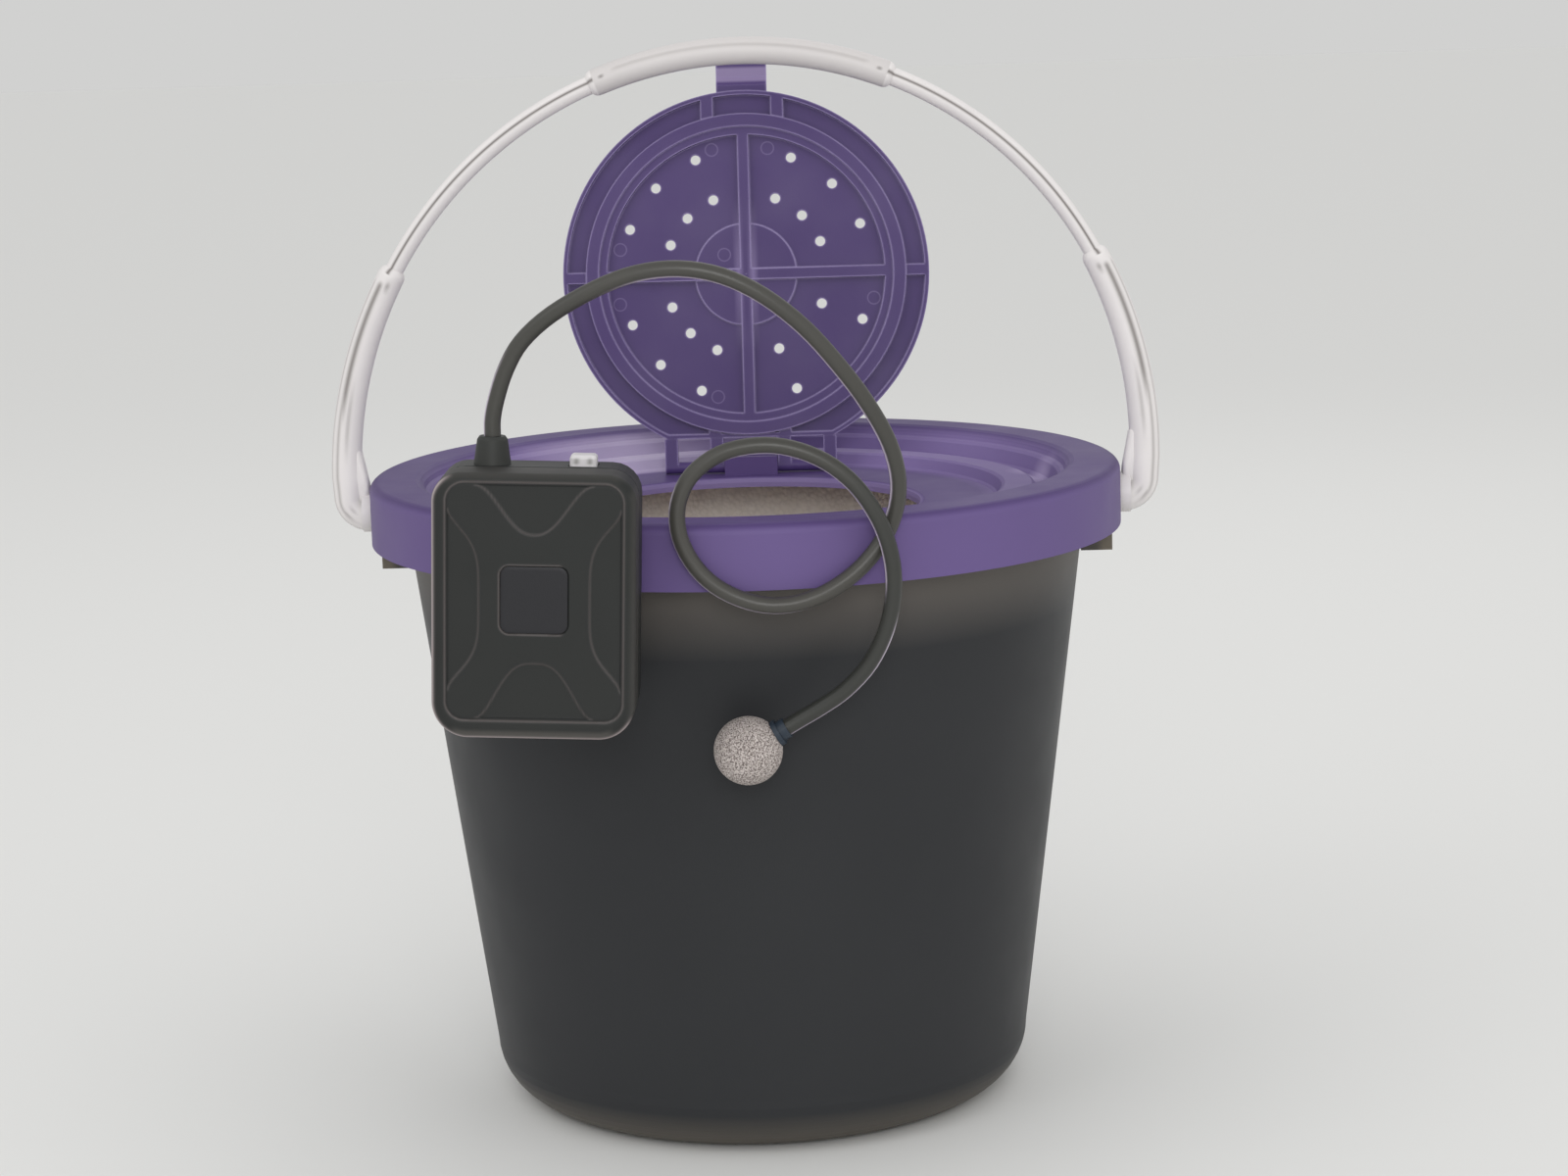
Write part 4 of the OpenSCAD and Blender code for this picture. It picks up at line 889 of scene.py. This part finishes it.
# Places on the lid in metres: heights, distances from the axis, and spots
LID_TOP = 0.2508
EDGE_LINE_Z, EDGE_LINE_HALF, OUTSIDE_R = LID_TOP - 0.0009, 0.0014, (0.1438, 0.145)
SUNK_Z, SUNK_R = (LID_TOP - 0.003, LID_TOP - 0.0005), (0.093, 0.099)
BEHIND_Y = (-0.02, 0.09)
BACK_GLOW, BACK_GLOW_R = (-0.045, 0.105, 0.243), (0.012, 0.065)
RECESS_HIGHLIGHT, RECESS_HIGHLIGHT_R = (0.1165, 0.026, 0.2395), (0.003, 0.013)
NECK_R = (0.0693, 0.0708)
# Strengths and colours of the lid's painted light and shade
LINE_STRENGTH, WALL_STRENGTHS, GLOW_STRENGTH = 0.6, (0.2, 0.6), 0.75
HIGHLIGHT_STRENGTH, NECK_STRENGTH = 0.55, 0.4
PAINTED_EDGE_SHADE, PAINTED_NECK_LIGHT = linear(68, 50, 100), linear(160, 144, 188)
PAINTED_WALL_LIGHT, PAINTED_GLOW, PAINTED_HIGHLIGHT = (
    linear(146, 128, 178), linear(200, 188, 214), linear(176, 162, 196))


def lid_painted_light(made):
    """Painted shade in a line where the skirt's round edge begins, painted light on the walls
    of the recess, painted highlights behind the hinge and at the right end, and painted
    light on the neck."""
    radius, height = made.off_axis(), made.height()
    outside = made.span(radius, 0.0, LINE_STRENGTH, *OUTSIDE_R)
    line = made.band(height, EDGE_LINE_Z, EDGE_LINE_HALF)
    yield made.both(outside, line), PAINTED_EDGE_SHADE
    sunk = made.both(made.span(height, 1.0, 0.0, *SUNK_Z), made.span(radius, 0.0, 1.0, *SUNK_R))
    behind = made.span(made.height("Y"), *WALL_STRENGTHS, *BEHIND_Y)
    yield made.both(behind, sunk), PAINTED_WALL_LIGHT
    glow = made.span(made.distance(BACK_GLOW), GLOW_STRENGTH, 0.0, *BACK_GLOW_R)
    yield made.both(glow, sunk), PAINTED_GLOW
    highlight = made.span(made.distance(RECESS_HIGHLIGHT), HIGHLIGHT_STRENGTH, 0.0, *RECESS_HIGHLIGHT_R)
    yield highlight, PAINTED_HIGHLIGHT
    yield made.span(radius, NECK_STRENGTH, 0.0, *NECK_R), PAINTED_NECK_LIGHT


# Places on the open hatch in metres: the tab's band, the hub, the way through the hatch
# with the place of its inner face, and the spots of the pale rings
TAB_BAND_Z, TAB_BAND_HALF, TAB_BAND_FADE = 0.4006, 0.0036, (0.05, 0.35)
HUB, HUB_REACH = (0.0, 0.0915, 0.318), (0.004, 0.032)
HATCH_WAY, HATCH_INSIDE = (0.0, 0.9903, -0.1392), (0.0466, 0.0472)
BESIDE_RIB, BESIDE_HALF = 0.003, 0.0024
RING_SPOT_R, RING_SPOT_LINE = 0.0026, 0.0003
TAB_STRENGTH, HUB_STRENGTH, RING_SPOT_STRENGTH = 0.85, 0.55, 0.3
RING_SPOTS = (
    (-0.0523, 0.0927, 0.3299), (-0.0089, 0.0911, 0.3268), (-0.0530, 0.0896, 0.3073),
    (-0.0131, 0.0841, 0.2681), (0.0102, 0.0984, 0.3701), (-0.0131, 0.0984, 0.3700),
    (0.0530, 0.0896, 0.3073),
)
PAINTED_TAB_LIGHT, PAINTED_HUB_GLOW, RING_SPOT_SHADE = (
    linear(142, 127, 164), linear(150, 134, 178), linear(140, 125, 168))


def hatch_painted_light_and_rings(made):
    """Painted light in a band across the latch tab, a soft painted glow beside the upright rib
    round the hub, and faint pale rings round seven spots."""
    inside = made.span(made.along(HATCH_WAY), 1.0, 0.0, *HATCH_INSIDE)
    band = made.band(made.height(), TAB_BAND_Z, TAB_BAND_HALF)
    yield made.span(band, 0.0, TAB_STRENGTH, *TAB_BAND_FADE), PAINTED_TAB_LIGHT
    from_middle = made.math("ABSOLUTE", made.height("X"), 0.0)
    beside = made.band(from_middle, BESIDE_RIB, BESIDE_HALF)
    near_hub = made.both(
        made.span(made.distance(HUB), HUB_STRENGTH, 0.0, *HUB_REACH), inside)
    yield made.both(beside, near_hub), PAINTED_HUB_GLOW
    rings = None
    for spot in RING_SPOTS:
        ring = made.math("COMPARE", made.distance(spot), RING_SPOT_R)
        ring.node.inputs[2].default_value = RING_SPOT_LINE
        rings = made.math("MAXIMUM", rings, ring) if rings else ring
    yield made.both(made.both(rings, RING_SPOT_STRENGTH), inside), RING_SPOT_SHADE


# Heights on the pail, and distances from its axis, in metres
COVERED_Z, UNDER_LID_Z, FOOT_Z = (0.2235, 0.2265), (0.197, 0.225), (0.001, 0.017)
EARS_R = (0.1385, 0.141)
UNDER_LID_STRENGTH, EARS_STRENGTH, FOOT_STRENGTH = 0.85, 0.75, 0.5
PAIL_SHADES = (linear(47, 48, 50), linear(51, 52, 54))
PAINTED_UNDER_LID_LIGHT, PAINTED_EARS_LIGHT, PAINTED_FOOT_LIGHT = (
    linear(106, 101, 96), linear(122, 114, 101), linear(128, 120, 108))
PAIL_CLOUDS, PAIL_GLOSS, PAIL_GRAIN = (7.0, 4.0), (30.0, 3.0), (1800.0, 2.0)
PAIL_ROUGH, PAIL_SPECULAR = (0.42, 0.5), 0.15


def pail_plastic():
    """Dark grey, with painted light just under the lid, on the ears and round the foot."""
    made = Finish("pail_plastic")
    shade = made.ramp(made.noise(*PAIL_CLOUDS), shades_of(*PAIL_SHADES))
    height = made.height()
    # Painted light just under the lid, on the ears and round the foot
    covered = made.span(height, 1.0, 0.0, *COVERED_Z)
    under_lid = made.both(made.span(height, 0.0, UNDER_LID_STRENGTH, *UNDER_LID_Z), covered)
    shade = made.mix(under_lid, shade, PAINTED_UNDER_LID_LIGHT)
    ears = made.both(made.span(made.off_axis(), 0.0, EARS_STRENGTH, *EARS_R), covered)
    shade = made.mix(ears, shade, PAINTED_EARS_LIGHT)
    foot = made.span(height, FOOT_STRENGTH, 0.0, *FOOT_Z)
    made.colour(made.mix(foot, shade, PAINTED_FOOT_LIGHT))
    made.rough(made.noise(*PAIL_GLOSS), *PAIL_ROUGH)
    made.bump(made.noise(*PAIL_GRAIN), GRAIN_D)
    made.set(Specular_IOR_Level=PAIL_SPECULAR)
    return made


BEADS_PER_M, SPECKS_PER_M, PATCHES_PER_M = 520.0, 900.0, 22.0
JOINT_SPAN, SPECK_SPAN, PATCH_SPAN = (0.45, 0.85), (0.05, 0.2), (0.4, 0.6)
JOINT_STRENGTH, SPECK_STRENGTH, PATCH_LEAST = 0.25, 0.7, 0.2
BEAD_EDGE, BEAD_D = 0.8, 0.0005
FOAM_CLOUDS, FOAM_GLOSS, FOAM_ROUGH = (60.0, 3.0), (200.0, 2.0), (0.7, 0.9)
FOAM_SHADES = (linear(238, 228, 216), linear(247, 239, 229))
JOINT_SHADE, SPECK_SHADE = linear(198, 188, 176), linear(118, 106, 95)


def bead_foam():
    """Expanded foam: tight round beads, darker joints between them, patches of specks."""
    made = Finish("bead_foam")
    beads = made.cells(BEADS_PER_M)
    tone = made.ramp(made.noise(*FOAM_CLOUDS), shades_of(*FOAM_SHADES))
    joints = made.mix(made.span(beads, 0.0, JOINT_STRENGTH, *JOINT_SPAN), tone, JOINT_SHADE)
    specks = made.both(
        made.span(made.cells(SPECKS_PER_M), SPECK_STRENGTH, 0.0, *SPECK_SPAN),
        made.span(made.noise(PATCHES_PER_M), PATCH_LEAST, 1.0, *PATCH_SPAN))
    made.colour(made.mix(specks, joints, SPECK_SHADE))
    made.rough(made.noise(*FOAM_GLOSS), *FOAM_ROUGH)
    made.bump(made.span(beads, 1.0, 0.0, 0.0, BEAD_EDGE), BEAD_D)
    return made


STONE_GRAINS, STONE_GRAIN_D, STONE_RELIEF = (2000.0, 3.0), 0.0009, 0.9
STONE_GLOSS, STONE_ROUGH = (500.0, 2.0), (0.85, 1.0)
STONE_STOPS = [
    (0.38, linear(92, 82, 78)), (0.48, linear(166, 156, 151)), (0.6, linear(214, 205, 201))]


def porous_stone():
    """Bonded grit: pale and dark grains with pores between them."""
    made = Finish("porous_stone")
    grains = made.noise(*STONE_GRAINS)
    made.colour(made.ramp(grains, STONE_STOPS))
    made.rough(made.noise(*STONE_GLOSS), *STONE_ROUGH)
    made.bump(grains, STONE_GRAIN_D, STONE_RELIEF)
    return made


BRUSHED, BRUSH_STRETCH, BRUSH_D = (300.0, 3.0), (1.0, 1.0, 30.0), 0.00002
STEEL_ROUGH = (0.22, 0.38)
STEEL_SHADES = (linear(176, 178, 182), linear(190, 192, 194))


def plated_steel():
    """Bright metal with fine level brush marks."""
    made = Finish("plated_steel")
    brushed = made.noise(*BRUSHED, stretch=BRUSH_STRETCH)
    made.colour(made.ramp(brushed, shades_of(*STEEL_SHADES)))
    made.rough(brushed, *STEEL_ROUGH)
    made.bump(brushed, BRUSH_D)
    made.set(Metallic=1.0)
    return made


CASE_SHADES = (linear(37, 39, 38), linear(41, 42, 41))
# The hatch's paler edges are painted light, strongest near the hub
HATCH_EDGE_LIGHT = (linear(154, 140, 184), 0.0013, 1.15, HUB)
pail_finish = pail_plastic()
foam_finish = bead_foam()
stone_finish = porous_stone()
steel_finish = plated_steel()
# The lid's marks are painted light and shade
lid_finish = plastic(
    "lid_plastic", (linear(82, 65, 114), linear(88, 71, 122)), rough=(0.48, 0.56), gloss=0.2,
    marks=lid_painted_light)
# The hatch's marks are painted light, with pale rings round seven spots
hatch_finish = plastic(
    "hatch_plastic", (linear(73, 56, 106), linear(79, 62, 112)), rough=(0.4, 0.5), gloss=0.25,
    marks=hatch_painted_light_and_rings, edge=HATCH_EDGE_LIGHT)
# The bail's grey marks are painted reflections, and painted shade on the grip
bail_finish = plastic(
    "bail_plastic", (linear(220, 216, 215), linear(227, 223, 222)), rough=(0.38, 0.48),
    gloss=0.35, painted=[("painted_reflection", linear(112, 106, 103))])
case_finish = plastic("case_plastic", CASE_SHADES, rough=(0.45, 0.55), gloss=0.25)
# Painted light on the case's round edge, outline and relief lines; painted shade beside them
front_finish = plastic(
    "case_front_plastic", CASE_SHADES, rough=(0.5, 0.6), gloss=0.25, painted=[
        ("rim", linear(74, 72, 69)), ("dark", linear(38, 39, 39)),
        ("pale", linear(124, 116, 115)), ("painted_contour_light", linear(160, 149, 149))])
badge_finish = plastic(
    "badge_plastic", (linear(38, 38, 41), linear(41, 41, 44)), rough=(0.4, 0.5), gloss=0.25)
rubber_finish = plastic(
    "black_rubber", (linear(28, 28, 28), linear(34, 34, 34)), rough=(0.6, 0.75))
# The hose's pale line is painted light, and its darker last part is painted shade
hose_finish = plastic(
    "hose_vinyl", (linear(61, 61, 57), linear(71, 69, 65)), rough=(0.32, 0.42), gloss=0.4,
    painted=[("lower", linear(52, 53, 50)), ("painted_rim_light", linear(206, 194, 212))])
boot_finish = plastic(
    "boot_rubber", (linear(50, 52, 50), linear(56, 56, 53)), rough=(0.5, 0.6))
# The button's darker spots are painted shade
button_finish = plastic(
    "button_plastic", (linear(206, 203, 204), linear(214, 211, 212)), rough=(0.3, 0.4),
    painted=[("painted_shade_spot", linear(128, 127, 122))])
nipple_finish = plastic(
    "nipple_plastic", (linear(40, 49, 60), linear(48, 57, 68)), rough=(0.35, 0.45))
inner_finish = plastic(
    "inner_plastic", (linear(76, 76, 78), linear(80, 80, 82)), rough=(0.45, 0.55))
jacket_finish = plastic(
    "battery_jacket", (linear(150, 112, 52), linear(156, 118, 58)), rough=(0.3, 0.4))

FINISHES = {
    "bucket_shell": pail_finish, "foam_liner": foam_finish, "lid": lid_finish,
    "hatch_door": hatch_finish, "bail_handle": bail_finish,
    "pump_front_case": case_finish, "pump_back_case": case_finish,
    "case_gasket": rubber_finish, "blank_badge": badge_finish,
    "case_screws": steel_finish, "battery_door": case_finish,
    "battery_left": jacket_finish, "battery_right": jacket_finish,
    "contact_strip": steel_finish, "battery_springs": steel_finish,
    "inner_shelf": inner_finish, "motor_can": steel_finish,
    "motor_eccentric": steel_finish, "connecting_rod": button_finish,
    "diaphragm": rubber_finish, "pump_head": inner_finish,
    "power_switch": inner_finish, "power_button": button_finish,
    "rim_hook": steel_finish, "hook_screws": steel_finish,
    "tube_boot": boot_finish, "stone_nipple": nipple_finish,
    "air_stone": stone_finish,
}


def give(piece, finish):
    piece.data.materials.clear()
    piece.data.materials.append(finish.material)


for name, finish in FINISHES.items():
    give(NODES[name], finish)
give(hose, hose_finish)
give(bail, bail_finish)
give(case_front, front_finish)
give(badge, badge_finish)
give(button, button_finish)


# ------------------------------------------------------------------ studio
FLOOR_HALF = 12.0
FLOOR_SHADE, BACKDROP_SHADE = linear(226, 226, 224), linear(209, 209, 208)
FLOOR_ROUGH = 0.9
WORLD_LIGHT = 0.84
# Lamps as (name, place, aim, size, power, spread)
LAMPS = (
    ("front_lamp", (0.1, -1.7, 0.75), (0, 0, 0.22), 0.7, 2.4, 100),
    ("key_lamp", (-1.2, -1.1, 1.5), (0, 0, 0.2), 1.2, 4.2, 180),
    ("fill_lamp", (1.4, -1.0, 0.9), (0, 0, 0.2), 1.4, 2, 180),
    ("back_lamp", (0.3, 1.4, 1.3), (0, 0, 0.25), 1.2, 2, 180),
)


def add_floor():
    made = link_mesh(
        "floor",
        [(-FLOOR_HALF, -FLOOR_HALF, 0), (FLOOR_HALF, -FLOOR_HALF, 0),
         (FLOOR_HALF, FLOOR_HALF, 0), (-FLOOR_HALF, FLOOR_HALF, 0)],
        [(0, 1, 2, 3)], smooth=False,
    )
    finish = Finish("floor")
    finish.set(Base_Color=(*FLOOR_SHADE, 1), Roughness=FLOOR_ROUGH)
    give(made, finish)


def add_lamp(name, place, aim, size, power, spread):
    data = bpy.data.lights.new(name, "AREA")
    data.spread = math.radians(spread)
    data.shape = "DISK"
    data.size = size
    data.energy = power
    lamp = bpy.data.objects.new(name, data)
    bpy.context.scene.collection.objects.link(lamp)
    lamp.location = place
    lamp.rotation_euler = (Vector(aim) - Vector(place)).to_track_quat("-Z", "Y").to_euler()


def add_world(light, backdrop):
    """Even light from all round, and a pale backdrop near the far floor's tone behind
    everything, also in reflections."""
    world = bpy.data.worlds.new("studio")
    world.use_nodes = True
    tree = world.node_tree
    tree.nodes["Background"].inputs["Color"].default_value = (1, 1, 1, 1)
    tree.nodes["Background"].inputs["Strength"].default_value = light
    seen = tree.nodes.new("ShaderNodeBackground")
    seen.inputs["Color"].default_value = (*backdrop, 1)
    rays = tree.nodes.new("ShaderNodeLightPath")
    mix = tree.nodes.new("ShaderNodeMixShader")
    shown = rays.outputs["Is Camera Ray"]
    for kind in ("Is Glossy Ray", "Is Transmission Ray"):
        either = tree.nodes.new("ShaderNodeMath")
        either.operation = "MAXIMUM"
        tree.links.new(shown, either.inputs[0])
        tree.links.new(rays.outputs[kind], either.inputs[1])
        shown = either.outputs[0]
    tree.links.new(shown, mix.inputs["Fac"])
    tree.links.new(tree.nodes["Background"].outputs[0], mix.inputs[1])
    tree.links.new(seen.outputs[0], mix.inputs[2])
    tree.links.new(mix.outputs[0], tree.nodes["World Output"].inputs["Surface"])
    bpy.context.scene.world = world


add_floor()
add_world(WORLD_LIGHT, BACKDROP_SHADE)
for lamp in LAMPS:
    add_lamp(*lamp)
bpy.context.scene.view_settings.view_transform = "Standard"
